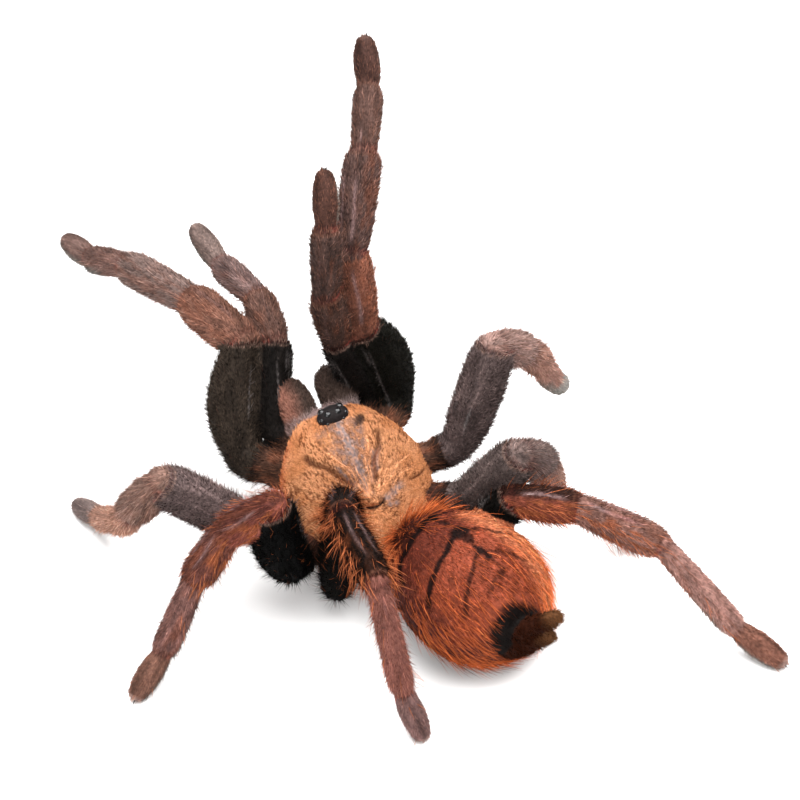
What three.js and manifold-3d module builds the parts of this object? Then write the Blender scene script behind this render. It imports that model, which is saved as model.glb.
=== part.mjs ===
// A life-size tarantula of the Asian earth-tiger kind, an adult female holding up her first legs and palps.
// She faces -Y with the front of the body reared, and rests on the abdomen and five feet at z = 0.
// Every length is in millimetres and every angle in degrees.
import * as THREE from "three";
import { mergeVertices } from "three/addons/utils/BufferGeometryUtils.js";
import Module from "manifold-3d";

const wasm = await Module();
wasm.setup();

// How the front half of the body is carried: its middle's height, nose up, a little down on the left.
const prosomaHeight = 13.2;
const prosomaPitch = 32;
const prosomaRoll = -6.5;

// Carapace: length, greatest breadth, breadth of the front edge, heights above the margin.
const carapaceLength = 22;
const carapaceBreadth = 20.2;
const clypeusBreadth = 11.5;
const carapaceHeight = 3.9;
const headRidgeHeight = 1.3;
const marginDepth = 1.4;

const abdomenLength = 23.6;
const abdomenBreadth = 19.4;
const abdomenHeight = 18.2;
const abdomenCentre = [-6.8, 18.2, 8.8];
const abdomenTurn = 24;
const abdomenPitch = 11;

const seam = 0.3; // clearance between two neighbouring pieces
const sides = 8; // facets round a limb piece
const tipShare = 0.4; // radius of a last piece's round tip, in girths
const padShare = 0.36; // height of a standing foot's round tip above the floor, in girths
const usualEnds = [0.44, 0.46]; // radii of a limb piece at its near and far joints, in girths

// Where each limb leaves its coxa, measured forward, outward and up from the middle of the carapace margin,
// where that coxa starts in the same measure, the length and the girth of each piece from the femur to the
// tarsus, the girth of the coxa, how far the under side of the femur bellies out, and the radii of the femur
// at its two joints where they aren't the usual ones.
const limbs = {
  palp: {
    hip: [11.2, 7, -4.8],
    root: [5, 2.8, -4.4],
    lengths: [11.8, 7.8, 9.1, 7.5],
    girths: [5.4, 4.6, 4.1, 3.7],
    coxa: 4.2,
    bow: 0.3,
  },
  leg1: {
    hip: [9.2, 12.5, -7.8],
    root: [3.4, 4, -4.4],
    lengths: [15.9, 11.4, 12.3, 9.3, 6.9],
    girths: [7.8, 5.6, 4.8, 4.3, 3.8],
    coxa: 5.8,
    bow: 1.5,
    ends: [0.4, 0.35],
  },
  leg2: {
    hip: [-0.2, 14.8, 0.2],
    root: [0.4, 4.6, -3.4],
    lengths: [14.6, 7.8, 9.1, 8.3, 6.7],
    girths: [5.7, 4.8, 4.3, 3.8, 3.6],
    coxa: 4.9,
    bow: 0.4,
  },
  leg3: {
    hip: [-7.5, 12.4, 0.6],
    root: [-2.8, 4.4, -3.2],
    lengths: [12.8, 7, 7.7, 9.9, 7.2],
    girths: [5.9, 5, 4.5, 3.8, 3.7],
    coxa: 5.2,
    bow: 0.4,
  },
  leg4: {
    hip: [-14.2, 7.2, -3.2],
    root: [-5.6, 3.6, -4],
    lengths: [15.8, 8.2, 11.5, 16.1, 7.8],
    girths: [5.4, 4.9, 4.5, 3.8, 3.7],
    coxa: 4.9,
    bow: 0.3,
  },
};
const bothSides = [["left", 1], ["right", -1]];
const pieces = ["femur", "patella", "tibia", "metatarsus", "tarsus"];

// The pose, piece by piece from the femur out: turn from straight ahead to the limb's own side, and rise.
// A standing leg gives the height of its ankle instead of its last two rises.
const pose = {
  palp_left: { turns: [-32, -5, 8, 8], rises: [45, 10, -2, 15] },
  palp_right: { turns: [-77, -56, 27, 24], rises: [72, 80, 73, 53] },
  leg1_left: { turns: [-29, 11, 23, 16, 15], rises: [50, -2, -3, -25, -5] },
  leg1_right: { turns: [-78, 6, 35, 30, 21], rises: [68, 75, 48, 24, 48] },
  leg2_left: { turns: [70, 61, -1, 7, 14], rises: [44, -55, -52], ankle: 3.2 },
  leg2_right: { turns: [70, 69, 56, 53, 55], rises: [64, -38, -52, -57, -49] },
  leg3_left: { turns: [75, 73, 97, 120, 109], rises: [83, -35, -49], ankle: 4.9 },
  leg3_right: { turns: [133, 65, 57, 134, 106], rises: [56, -46, -71], ankle: 4.8 },
  leg4_left: { turns: [-28, 157, 174, 187, 205], rises: [70, 32, 3], ankle: 7 },
  leg4_right: { turns: [114, 130, 141, 138, 145], rises: [58, -2, -7], ankle: 3.9 },
};

const colours = {
  carapace: 0xc9793a,
  sternum: 0x2a1d18,
  coxa: 0x5a4036,
  velvet: 0x15120f,
  darkFemur: 0x2b2624,
  limb: 0x4a332b,
  rearLimb: 0x6b3a28,
  foot: 0x6a5a52,
  abdomen: 0x9a4421,
  spinneret: 0x3a2c1c,
  eye: 0x08080a,
  fang: 0x120c0a,
};

// Unit vector for a turn from straight ahead (positive to the animal's left) and a rise above the floor.
function pointing(turn, rise) {
  const t = THREE.MathUtils.degToRad(turn);
  const r = THREE.MathUtils.degToRad(rise);
  return new THREE.Vector3(Math.sin(t) * Math.cos(r), -Math.cos(t) * Math.cos(r), Math.sin(r));
}

// Frame of a body half: x forward, y to the animal's left, z up through its back.
function bodyFrame(centre, turn, pitch, roll) {
  const forward = pointing(turn, pitch);
  const level = pointing(turn + 90, 0);
  const back = new THREE.Vector3().crossVectors(forward, level);
  const tilt = THREE.MathUtils.degToRad(roll);
  const left = level.clone().multiplyScalar(Math.cos(tilt)).addScaledVector(back, Math.sin(tilt));
  const up = new THREE.Vector3().crossVectors(forward, left);
  return new THREE.Matrix4().makeBasis(forward, left, up).setPosition(centre);
}

// Frame of a limb piece: y along it, z toward its upper side.
function limbFrame(from, along, upper) {
  const side = new THREE.Vector3().crossVectors(along, upper).normalize();
  const top = new THREE.Vector3().crossVectors(side, along);
  return new THREE.Matrix4().makeBasis(side, along, top).setPosition(from);
}

// A closed geometry as a solid, its shared vertices merged and its collapsed triangles dropped.
function solidOf(geometry) {
  const bare = geometry.clone();
  bare.deleteAttribute("normal");
  bare.deleteAttribute("uv");
  const merged = mergeVertices(bare, 1e-4);
  const index = merged.index.array;
  const kept = [];
  for (let i = 0; i < index.length; i += 3) {
    const [a, b, c] = [index[i], index[i + 1], index[i + 2]];
    if (a !== b && b !== c && a !== c) kept.push(a, b, c);
  }
  return new wasm.Manifold(
    new wasm.Mesh({
      numProp: 3,
      vertProperties: merged.attributes.position.array,
      triVerts: new Uint32Array(kept),
    }),
  );
}

// A block that fills the side of a plane its normal points to.
function blockBeyond(point, normal) {
  const size = 120;
  const turn = new THREE.Quaternion().setFromUnitVectors(new THREE.Vector3(0, 0, 1), normal);
  const middle = point.clone().addScaledVector(normal, size / 2);
  const matrix = new THREE.Matrix4().compose(middle, turn, new THREE.Vector3(1, 1, 1));
  return solidOf(new THREE.BoxGeometry(size, size, size).applyMatrix4(matrix));
}

// A limb piece turned on its own axis: round ends centred on its two joints, fullest at the middle.
// A last piece ends at its tip instead of running past it; a bow lets the under side belly out.
function limbPiece(frame, length, girth, grow, last, bow = 0, ends = usualEnds, plain = false) {
  const near = ends[0] * girth + grow;
  const full = 0.5 * girth + grow;
  const far = (last ? tipShare : ends[1]) * girth + grow;
  const end = last ? length - far + grow : length;
  const profile = [[0, -near], [0.72 * near, -0.7 * near], [near, 0], [full, 0.5 * length], [far, end]];
  if (plain) profile.splice(3, 1);
  const swell = [0.52 * (full + near), 0.52 * (full + far)];
  const bellied = [[swell[0], 0.22 * length], [full, 0.45 * length], [swell[1], 0.75 * length]];
  if (bow) profile.splice(3, 1, ...bellied);
  profile.push([0.72 * far, end + 0.7 * far], [0, end + far]);
  const points = profile.map(([radius, y]) => new THREE.Vector2(radius, y));
  const geometry = new THREE.LatheGeometry(points, sides);
  geometry.scale(0.97, 1, 1.06);
  const at = geometry.attributes.position;
  for (let i = 0; i < at.count; i++) {
    const share = THREE.MathUtils.clamp(at.getY(i) / length, 0, 1);
    at.setZ(i, at.getZ(i) - bow * Math.sin(Math.PI * share));
  }
  return solidOf(geometry.applyMatrix4(frame));
}

// A ball reshaped vertex by vertex: shape takes a point of the unit ball and returns where it goes.
function shapedBall(shape, frame, around, down) {
  const geometry = new THREE.SphereGeometry(1, around, down);
  geometry.rotateX(Math.PI / 2);
  const at = geometry.attributes.position;
  const point = new THREE.Vector3();
  for (let i = 0; i < at.count; i++) {
    point.fromBufferAttribute(at, i);
    at.setXYZ(i, ...shape(point));
  }
  return solidOf(geometry.applyMatrix4(frame));
}

function ellipsoid(centre, radii, frame, grow, around = 14, down = 8) {
  const shape = (p) => [
    centre[0] + p.x * (radii[0] + grow),
    centre[1] + p.y * (radii[1] + grow),
    centre[2] + p.z * (radii[2] + grow),
  ];
  return shapedBall(shape, frame, around, down);
}

function joined(solids) {
  return solids.reduce((whole, one) => whole.add(one));
}

const prosoma = bodyFrame(new THREE.Vector3(0, 0, prosomaHeight), 0, prosomaPitch, prosomaRoll);
const opisthosoma = bodyFrame(new THREE.Vector3(...abdomenCentre), abdomenTurn, abdomenPitch, 0);

function onProsoma(u, v, w) {
  return new THREE.Vector3(u, v, w).applyMatrix4(prosoma);
}

const prosomaUp = new THREE.Vector3(0, 0, 1).transformDirection(prosoma);

// Carapace: an egg-shaped outline cut square at the front, with a raised head region.
function carapacePoint(p, grow) {
  const round = Math.hypot(p.x, p.y);
  const angle = Math.atan2(p.y, p.x);
  const ahead = Math.max(0, Math.cos(angle));
  const u = (carapaceLength / 2 + grow) * Math.sign(p.x) * Math.abs(p.x) ** (1 - 0.25 * ahead);
  const forward = THREE.MathUtils.smoothstep(u, -1, carapaceLength / 2);
  const breadth = THREE.MathUtils.lerp(carapaceBreadth / 2, 0.72 * clypeusBreadth, forward) + grow;
  const v = p.y * breadth;
  if (p.z < 0) return [u, v, p.z * (marginDepth + grow)];
  const falloff = Math.max(0, 1 - round ** (2.2 + 2.6 * ahead)) ** 0.75;
  const ridge = headRidgeHeight * Math.exp(-((v / 4.6) ** 2)) * THREE.MathUtils.smoothstep(u, -3, 4);
  return [u, v, (carapaceHeight + ridge) * falloff + grow * p.z];
}

function carapace(grow) {
  return shapedBall((p) => carapacePoint(p, grow), prosoma, 20, 10);
}

// Eye tubercle: a low oval mound with eight eyes, two facing up and three along each side.
function eyeTurret(grow) {
  const mound = ellipsoid([8.7, 0, 3.9], [1.4, 2.1, 1], prosoma, grow, 12, 5);
  if (grow) return mound;
  const eyes = [
    [8.9, 0.62, 4.7, 0.36],
    [9.65, 1.15, 4.2, 0.34],
    [8.6, 1.75, 4.3, 0.3],
    [8.1, 1.2, 4.5, 0.26],
  ];
  const balls = eyes.flatMap(([u, v, w, r]) => {
    return [-1, 1].map((side) => ellipsoid([u, side * v, w], [r, r, r], prosoma, 0, 5, 4));
  });
  return joined([mound, ...balls]);
}

function sternum(grow) {
  const plate = ellipsoid([-1, 0, -4], [7.8, 5.2, 3], prosoma, grow, 10, 6);
  const labium = ellipsoid([6.2, 0, -5.4], [1.6, 1.9, 1.4], prosoma, grow, 7, 5);
  return joined([plate, labium]);
}

// Five coxae of one side, from the sternum's edge to the hips, as one piece.
function coxae(sign, grow) {
  return joined(
    Object.entries(limbs).map(([kind, { hip, root, coxa }]) => {
      const femur = chains[kind + (sign > 0 ? "_left" : "_right")].alongs[0];
      const from = onProsoma(root[0], sign * root[1], root[2]);
      const to = onProsoma(hip[0], sign * hip[1], hip[2]);
      const along = to.clone().sub(from);
      const length = along.length();
      along.normalize();
      const frame = limbFrame(from, along, prosomaUp);
      const piece = limbPiece(frame, length, coxa, grow, false, 0, usualEnds, true);
      const normal = along.clone().add(femur).normalize();
      return piece.subtract(blockBeyond(to.clone().addScaledVector(normal, grow - 0.6 * seam), normal));
    }),
  );
}

function chelicera(sign, grow) {
  const from = onProsoma(9.6, sign * 2.75, -1.6);
  const to = onProsoma(14.6, sign * 2.7, -3.0);
  const along = to.clone().sub(from);
  const length = along.length();
  const frame = limbFrame(from, along.normalize(), prosomaUp);
  const profile = [
    [0, -2.6],
    [1.7, -2],
    [2.35, 0],
    [2.55, 0.5 * length],
    [2.3, length],
    [1.5, length + 1.6],
    [0, length + 2.2],
  ].map(([radius, y]) => new THREE.Vector2(radius ? radius + grow : 0, y + Math.sign(y) * grow));
  const geometry = new THREE.LatheGeometry(profile, 9).scale(1, 1, 1.25);
  return solidOf(geometry.applyMatrix4(frame));
}

// Fang: a slim horn bent back under its chelicera.
function fang(sign, grow) {
  const bend = 4.2;
  const profile = [
    [0, -0.5],
    [0.75, 0],
    [0.62, 2],
    [0.42, 4],
    [0.26, 5.6],
    [0, 6.2],
  ].map(([radius, y]) => new THREE.Vector2(radius ? radius + grow : 0, y + Math.sign(y) * grow));
  const geometry = new THREE.LatheGeometry(profile, 7);
  const at = geometry.attributes.position;
  for (let i = 0; i < at.count; i++) {
    const angle = at.getY(i) / bend;
    const radius = bend + at.getX(i);
    const ahead = 15.6 - bend + radius * Math.cos(angle);
    at.setXYZ(i, ahead, sign * 2.7 + at.getZ(i), -6.3 - radius * Math.sin(angle));
  }
  const bent = solidOf(geometry.applyMatrix4(prosoma));
  return bent.volume() > 0 ? bent : solidOf(mirrored(geometry));
}

// The same surface with each triangle wound the other way.
function mirrored(geometry) {
  const turned = geometry.clone();
  const index = turned.index.array;
  for (let i = 0; i < index.length; i += 3) [index[i + 1], index[i + 2]] = [index[i + 2], index[i + 1]];
  return turned;
}

// Abdomen: an egg, fullest behind its middle.
function abdomen(grow) {
  const shape = (p) => {
    const narrow = 1 - 0.1 * p.x - 0.05 * p.x ** 2;
    return [
      p.x * (abdomenLength / 2 + grow),
      p.y * (abdomenBreadth / 2 + grow) * narrow,
      p.z * (abdomenHeight / 2 + grow) * narrow,
    ];
  };
  return shapedBall(shape, opisthosoma, 20, 10);
}

// Root of a spinneret in the abdomen's frame: the hind end is turned a little, with its left side lower.
function spinneretBase(sign) {
  return [-9.6, 3.7 + sign * 0.5, 1.4 - sign * 1.3];
}

function spinneret(sign, grow) {
  const from = new THREE.Vector3(...spinneretBase(sign)).applyMatrix4(opisthosoma);
  const along = pointing(abdomenTurn + 212, 37 - sign * 2);
  const frame = limbFrame(from, along, new THREE.Vector3(0, 0, 1));
  const profile = [
    [0, -1.4],
    [1.35, -0.6],
    [1.45, 1.2],
    [1.4, 3.2],
    [1.25, 4.9],
    [0.85, 6.6],
    [0, 7.4],
  ].map(([radius, y]) => new THREE.Vector2(radius ? radius + grow : 0, y + Math.sign(y) * grow));
  return solidOf(new THREE.LatheGeometry(profile, 8).applyMatrix4(frame));
}

// Joints of one limb from the hip to the tip, and the direction of each piece.
function limbChain(name) {
  const [kind, side] = name.split("_");
  const sign = side === "left" ? 1 : -1;
  const { hip, root, lengths, girths } = limbs[kind];
  const { turns, rises, ankle } = pose[name];
  const joints = [onProsoma(hip[0], sign * hip[1], hip[2])];
  const alongs = [];
  const coxaAlong = joints[0].clone().sub(onProsoma(root[0], sign * root[1], root[2])).normalize();
  lengths.forEach((length, i) => {
    const from = joints[i];
    let rise = rises[i];
    if (rise === undefined) {
      const last = i === lengths.length - 1;
      const target = last ? padShare * girths[i] : ankle;
      const reach = last ? length - tipShare * girths[i] : length;
      rise = THREE.MathUtils.radToDeg(Math.asin((target - from.z) / reach));
    }
    const along = pointing(sign * turns[i], rise);
    alongs.push(along);
    joints.push(from.clone().addScaledVector(along, length));
  });
  return { joints, alongs, coxaAlong };
}

// Pieces of one limb, each cut at its joints by the plane that halves the bend.
function limbSolid(name, i, grow) {
  const { lengths, girths, bow, ends } = limbs[name.split("_")[0]];
  const { joints, alongs, coxaAlong } = chains[name];
  const across = new THREE.Vector3().crossVectors(alongs[0], alongs[2]);
  const upper = new THREE.Vector3().crossVectors(alongs[i], across);
  const last = i === lengths.length - 1;
  const frame = limbFrame(joints[i], alongs[i], upper);
  const femur = i === 0;
  let solid = limbPiece(frame, lengths[i], girths[i], grow, last, femur ? bow : 0, femur ? ends : usualEnds);
  const before = i > 0 ? alongs[i - 1] : coxaAlong;
  const back = alongs[i].clone().add(before).normalize().negate();
  solid = solid.subtract(blockBeyond(joints[i].clone().addScaledVector(back, grow - seam / 2), back));
  if (!last) {
    const normal = alongs[i].clone().add(alongs[i + 1]).normalize();
    const end = joints[i + 1].clone().addScaledVector(normal, grow - seam / 2);
    solid = solid.subtract(blockBeyond(end, normal));
  }
  return solid;
}

const chains = Object.fromEntries(Object.keys(pose).map((name) => [name, limbChain(name)]));

// Every piece in the order they claim space: each one is cut back from those before it.
const plan = [];
function add(name, colour, roughness, make, pivot, joinedTo = []) {
  plan.push({ name, colour, roughness, make, pivot, joinedTo });
}

add("carapace", colours.carapace, 0.75, carapace, onProsoma(0, 0, 0));
add("eye_turret", colours.eye, 0.25, eyeTurret, onProsoma(8.7, 0, 3.9));
add("sternum", colours.sternum, 0.85, sternum, onProsoma(-1, 0, -4));
for (const [side, sign] of bothSides) {
  const jaw = onProsoma(9.6, sign * 2.75, -1.6);
  add("chelicera_" + side, colours.velvet, 0.8, (grow) => chelicera(sign, grow), jaw);
  add("fang_" + side, colours.fang, 0.2, (grow) => fang(sign, grow), onProsoma(15.6, sign * 2.7, -6.3));
}
for (const [name, { joints }] of Object.entries(chains)) {
  const [kind, side] = name.split("_");
  const count = joints.length - 1;
  for (let i = 0; i < count; i++) {
    const piece = i === count - 1 ? "tarsus" : pieces[i];
    const middleShade = kind === "leg3" || kind === "leg4" ? "rearLimb" : "limb";
    const femurShade = kind === "leg2" ? "darkFemur" : "velvet";
    const shade = { femur: femurShade, tarsus: "foot" }[piece] || middleShade;
    const before = i > 0 ? [kind + "_" + pieces[i - 1] + "_" + side] : [];
    const node = kind + "_" + piece + "_" + side;
    add(node, colours[shade], 0.85, (grow) => limbSolid(name, i, grow), joints[i], before);
  }
}
for (const [side, sign] of bothSides) {
  add("coxae_" + side, colours.coxa, 0.85, (grow) => coxae(sign, grow), onProsoma(0, sign * 6, -4));
}
add("abdomen", colours.abdomen, 0.85, abdomen, new THREE.Vector3(...abdomenCentre));
for (const [side, sign] of bothSides) {
  const base = new THREE.Vector3(...spinneretBase(sign)).applyMatrix4(opisthosoma);
  add("spinneret_" + side, colours.spinneret, 0.7, (grow) => spinneret(sign, grow), base);
}

const floor = blockBeyond(new THREE.Vector3(0, 0, 0), new THREE.Vector3(0, 0, -1));
const claimed = [];
const tarantula = new THREE.Group();
const whole = new THREE.Box3();

function boxOf(solid) {
  const { min, max } = solid.boundingBox();
  return new THREE.Box3(new THREE.Vector3(...min), new THREE.Vector3(...max));
}

for (const { name, colour, roughness, make, pivot, joinedTo } of plan) {
  let solid = make(0);
  const box = boxOf(solid);
  for (const other of claimed) {
    if (!joinedTo.includes(other.name) && other.box.intersectsBox(box)) solid = solid.subtract(other.solid);
  }
  if (box.min.z < 0) solid = solid.subtract(floor);
  [solid] = solid.decompose().sort((a, b) => b.volume() - a.volume());
  const wide = make(seam);
  claimed.push({ name, solid: wide, box: boxOf(wide) });
  const { vertProperties, triVerts, numProp } = solid.getMesh();
  const positions = new Float32Array((vertProperties.length / numProp) * 3);
  for (let i = 0; i < positions.length / 3; i++) {
    positions.set(vertProperties.subarray(i * numProp, i * numProp + 3), i * 3);
  }
  const geometry = new THREE.BufferGeometry();
  geometry.setAttribute("position", new THREE.BufferAttribute(positions, 3));
  geometry.setIndex(new THREE.BufferAttribute(triVerts, 1));
  geometry.translate(-pivot.x, -pivot.y, -pivot.z);
  geometry.computeVertexNormals();
  const material = new THREE.MeshStandardMaterial({ color: colour, roughness, metalness: 0 });
  const mesh = new THREE.Mesh(geometry, material);
  mesh.name = name;
  mesh.position.copy(pivot);
  tarantula.add(mesh);
  whole.union(boxOf(solid));
}

// The origin is on the floor under the middle of the whole animal's box.
const middle = whole.getCenter(new THREE.Vector3());
tarantula.position.set(-middle.x, -middle.y, 0);

export default tarantula;
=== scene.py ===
import math
import bpy
import numpy as np
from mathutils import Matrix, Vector


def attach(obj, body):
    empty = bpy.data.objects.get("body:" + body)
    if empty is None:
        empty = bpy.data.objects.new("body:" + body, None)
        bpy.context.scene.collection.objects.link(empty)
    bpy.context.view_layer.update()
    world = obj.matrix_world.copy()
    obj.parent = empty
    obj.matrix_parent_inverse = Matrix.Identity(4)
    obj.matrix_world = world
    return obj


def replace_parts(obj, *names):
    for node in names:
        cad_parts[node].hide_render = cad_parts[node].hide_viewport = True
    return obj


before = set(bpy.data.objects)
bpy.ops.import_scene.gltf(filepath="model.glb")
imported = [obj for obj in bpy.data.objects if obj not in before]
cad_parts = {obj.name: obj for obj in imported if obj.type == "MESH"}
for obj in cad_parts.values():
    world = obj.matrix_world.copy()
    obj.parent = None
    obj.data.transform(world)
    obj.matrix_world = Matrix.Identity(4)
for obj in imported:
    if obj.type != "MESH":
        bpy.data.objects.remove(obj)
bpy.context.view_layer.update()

mm = 0.001
rng = np.random.default_rng(11)
sidesOf = {"left": 1, "right": -1}
print("frame loaded:", len(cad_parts), "nodes")

# Camera, floor and light: the camera's aim and distance are in millimetres, the rest in metres
view = {"azimuth": 153.25, "elevation": 44.9, "distance": 314.9, "lens": 99.1, "sensor": 36,
        "aim": (-15.94, -15.03, 0), "clip": (0.01, 10)}
studio = {"floorSize": 1.6, "floorColour": (0.93, 0.925, 0.92), "floorRoughness": 0.9, "floorSpecular": 0.1,
          "worldColour": (1, 1, 1), "worldStrength": 0.48}
lamps = {"keyLight": {"place": (-0.1, -0.05, 0.6), "size": 0.8, "power": 17},
         "fillLight": {"place": (0.4, 0.35, 0.4), "size": 0.5, "power": 2.5}}


def addObject(name, data):
    made = bpy.data.objects.new(name, data)
    bpy.context.scene.collection.objects.link(made)
    return made


def meshFrom(name, points, faces):
    mesh = bpy.data.meshes.new(name)
    mesh.from_pydata(points, [], faces)
    mesh.update()
    return mesh


def newMaterial(name, roughness, specular):
    material = bpy.data.materials.new(name)
    material.use_nodes = True
    shader = material.node_tree.nodes["Principled BSDF"]
    shader.inputs["Roughness"].default_value = roughness
    shader.inputs["Specular IOR Level"].default_value = specular
    return material, shader


def makeCamera():
    a, e = math.radians(view["azimuth"]), math.radians(view["elevation"])
    back = Vector((math.sin(a) * math.cos(e), -math.cos(a) * math.cos(e), math.sin(e)))
    data = bpy.data.cameras.new("camera")
    data.lens, data.sensor_width = view["lens"], view["sensor"]
    data.clip_start, data.clip_end = view["clip"]
    camera = addObject("camera", data)
    camera.location = Vector(view["aim"]) * mm + back * view["distance"] * mm
    camera.rotation_euler = (-back).to_track_quat("-Z", "Y").to_euler()
    bpy.context.scene.camera = camera


def makeStudio():
    world = bpy.data.worlds.new("studio")
    world.use_nodes = True
    background = world.node_tree.nodes["Background"]
    background.inputs["Color"].default_value = (*studio["worldColour"], 1)
    background.inputs["Strength"].default_value = studio["worldStrength"]
    bpy.context.scene.world = world
    for name, lamp in lamps.items():
        data = bpy.data.lights.new(name, "AREA")
        data.size, data.energy = lamp["size"], lamp["power"]
        light = addObject(name, data)
        light.location = lamp["place"]
        light.rotation_euler = Vector(lamp["place"]).to_track_quat("Z", "Y").to_euler()
    h = studio["floorSize"] / 2
    corners = [(-h, -h, 0), (h, -h, 0), (h, h, 0), (-h, h, 0)]
    floor = addObject("floor", meshFrom("floor", corners, [(0, 1, 2, 3)]))
    material, shader = newMaterial("paleFloor", studio["floorRoughness"], studio["floorSpecular"])
    shader.inputs["Base Color"].default_value = (*studio["floorColour"], 1)
    floor.data.materials.append(material)
    bpy.context.scene.view_settings.view_transform = "Standard"


makeCamera()
makeStudio()
print("camera and studio ready")


# Small tools: all shapes are worked out in millimetres and turned to metres when a mesh is made
def unit(v):
    return v / np.maximum(np.linalg.norm(v, axis=-1, keepdims=True), 1e-9)


def smoothstep(low, high, x):
    s = np.clip((x - low) / (high - low), 0, 1)
    return s * s * (3 - 2 * s)


def fade(low, high, x):
    # 1 below low and 0 above high
    return 1 - smoothstep(low, high, x)


def bell(x):
    return np.exp(-x ** 2)


def mix(a, b, share):
    return a + (b - a) * np.asarray(share)[..., None]


def evenly(colour, count):
    return np.tile(np.array(colour, float), (count, 1))


def keepOnly(mask, *lists):
    return [a[mask] for a in lists]


def noise(points, size, seed=0):
    # smooth lattice noise from 0 to 1, with lumps of the given size
    places = np.asarray(points) / size + 37.5 + 19.1 * seed
    cell = np.floor(places).astype(np.int64)
    part = places - cell
    part = part * part * (3 - 2 * part)
    total = np.zeros(len(places))
    for corner in range(8):
        step = np.array([corner & 1, corner >> 1 & 1, corner >> 2 & 1])
        spot = cell + step
        mixed = (spot[:, 0] * 73856093) ^ (spot[:, 1] * 19349663) ^ (spot[:, 2] * 83492791) ^ (seed * 40503)
        value = ((mixed * 2654435761) & 0xFFFFFF) / 0xFFFFFF
        total += np.prod(np.where(step == 1, part, 1 - part), axis=1) * value
    return total


def nodePoints(name):
    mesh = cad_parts[name].data
    flat = np.empty(len(mesh.vertices) * 3)
    mesh.vertices.foreach_get("co", flat)
    return flat.reshape(-1, 3) / mm


def extent(name, axes):
    held = nodePoints(name) @ axes.T
    return held.min(0), held.max(0)


def pointing(turn, rise):
    t, r = math.radians(turn), math.radians(rise)
    return np.array([math.sin(t) * math.cos(r), -math.cos(t) * math.cos(r), math.sin(r)])


def crossAxes(along, upper):
    # the two ways across a heading, the second as near to upper as it can be
    across = unit(np.cross(along, upper))
    return across, np.cross(across, along)


def bodyAxes(turn, pitch, roll):
    # rows: forward, left, up of a body half
    forward = pointing(turn, pitch)
    level = pointing(turn + 90, 0)
    back = np.cross(forward, level)
    tilt = math.radians(roll)
    left = level * math.cos(tilt) + back * math.sin(tilt)
    return np.array([forward, left, np.cross(forward, left)])


# The two body halves: how each is carried, its sizes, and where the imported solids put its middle
prosoma = {"turn": 0, "pitch": 32, "roll": -6.5, "length": 22, "breadth": 20.2, "front": 11.5,
           "height": 3.9, "ridge": 1.3, "margin": 1.4,
           "belly": ((-1, 0, -4), (7.7, 5.1, 2.9)), "lip": ((6.2, 0, -5.4), (1.5, 1.8, 1.3))}
prosomaAxes = bodyAxes(prosoma["turn"], prosoma["pitch"], prosoma["roll"])
low, high = extent("carapace", prosomaAxes)
prosomaCentre = np.array([*(low + high)[:2] / 2, low[2] + prosoma["margin"]]) @ prosomaAxes

abdomen = {"turn": 24, "pitch": 11, "half": np.array([11.8, 9.7, 9.1]), "coatDepth": 0.5}
abdomenAxes = bodyAxes(abdomen["turn"], abdomen["pitch"], 0)
low, high = extent("abdomen", abdomenAxes)
abdomenCentre = np.array([low[0] + abdomen["half"][0], (low[1] + high[1]) / 2,
                          high[2] - abdomen["half"][2]]) @ abdomenAxes
stalk = {"from": (-8, 0, -3.4), "reach": 9, "radius": 1.9, "rings": 8}  # between the body halves


def fromProsoma(u, v, w):
    return prosomaCentre + np.array([u, v, w]) @ prosomaAxes


def inProsoma(points):
    return (points - prosomaCentre) @ prosomaAxes.T


def inAbdomen(points):
    # places in the abdomen's own frame, as shares of its half sizes
    return (points - abdomenCentre) @ abdomenAxes.T / abdomen["half"]


# Limbs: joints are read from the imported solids. Each kind has where its coxa starts in the prosoma's
# frame, the coxa's girth, and how far the femur's under side bellies out
pieceNames = ["femur", "patella", "tibia", "metatarsus", "tarsus"]
limbKinds = {
    "palp": {"start": (5, 2.8, -4.4), "girth": 4.3, "belly": 0.3},
    "leg1": {"start": (3.4, 4, -4.4), "girth": 5.9, "belly": 1.5},
    "leg2": {"start": (0.4, 4.6, -3.4), "girth": 5.0, "belly": 0.4},
    "leg3": {"start": (-2.8, 4.4, -3.2), "girth": 5.3, "belly": 0.4},
    "leg4": {"start": (-5.6, 3.6, -4), "girth": 5.0, "belly": 0.3},
}
rearKinds = ("leg3", "leg4")
# Outline of each piece: place along it, and radius in girths
limbShape = {
    "coxa": [(0, 0.44), (0.3, 0.5), (0.58, 0.48), (0.64, 0.42), (0.72, 0.49), (0.92, 0.48), (1, 0.42)],
    "firstFemur": [(0, 0.34), (0.06, 0.4), (0.22, 0.47), (0.45, 0.5), (0.75, 0.44), (0.94, 0.37), (1, 0.33)],
    "femur": [(0, 0.35), (0.08, 0.42), (0.3, 0.49), (0.6, 0.5), (0.88, 0.48), (0.96, 0.44), (1, 0.37)],
    "patella": [(0, 0.37), (0.1, 0.43), (0.35, 0.49), (0.75, 0.5), (0.92, 0.46), (1, 0.38)],
    "tibia": [(0, 0.38), (0.08, 0.44), (0.4, 0.49), (0.8, 0.5), (0.94, 0.46), (1, 0.37)],
    "metatarsus": [(0, 0.36), (0.08, 0.42), (0.5, 0.47), (0.88, 0.48), (0.96, 0.44), (1, 0.34)],
    "tarsus": [(0, 0.33), (0.1, 0.42), (0.45, 0.49), (0.8, 0.46), (1, 0.38)],
}
limbBuild = {"coatDepth": 0.18, "jointReach": 1.1, "facetShare": 1.02, "flat": (0.97, 1.06)}


def jointBetween(a, b):
    gaps = np.linalg.norm(a[:, None] - b[None], axis=2)
    reach = limbBuild["jointReach"]
    return (a[gaps.min(1) < reach].mean(0) + b[gaps.min(0) < reach].mean(0)) / 2


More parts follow.
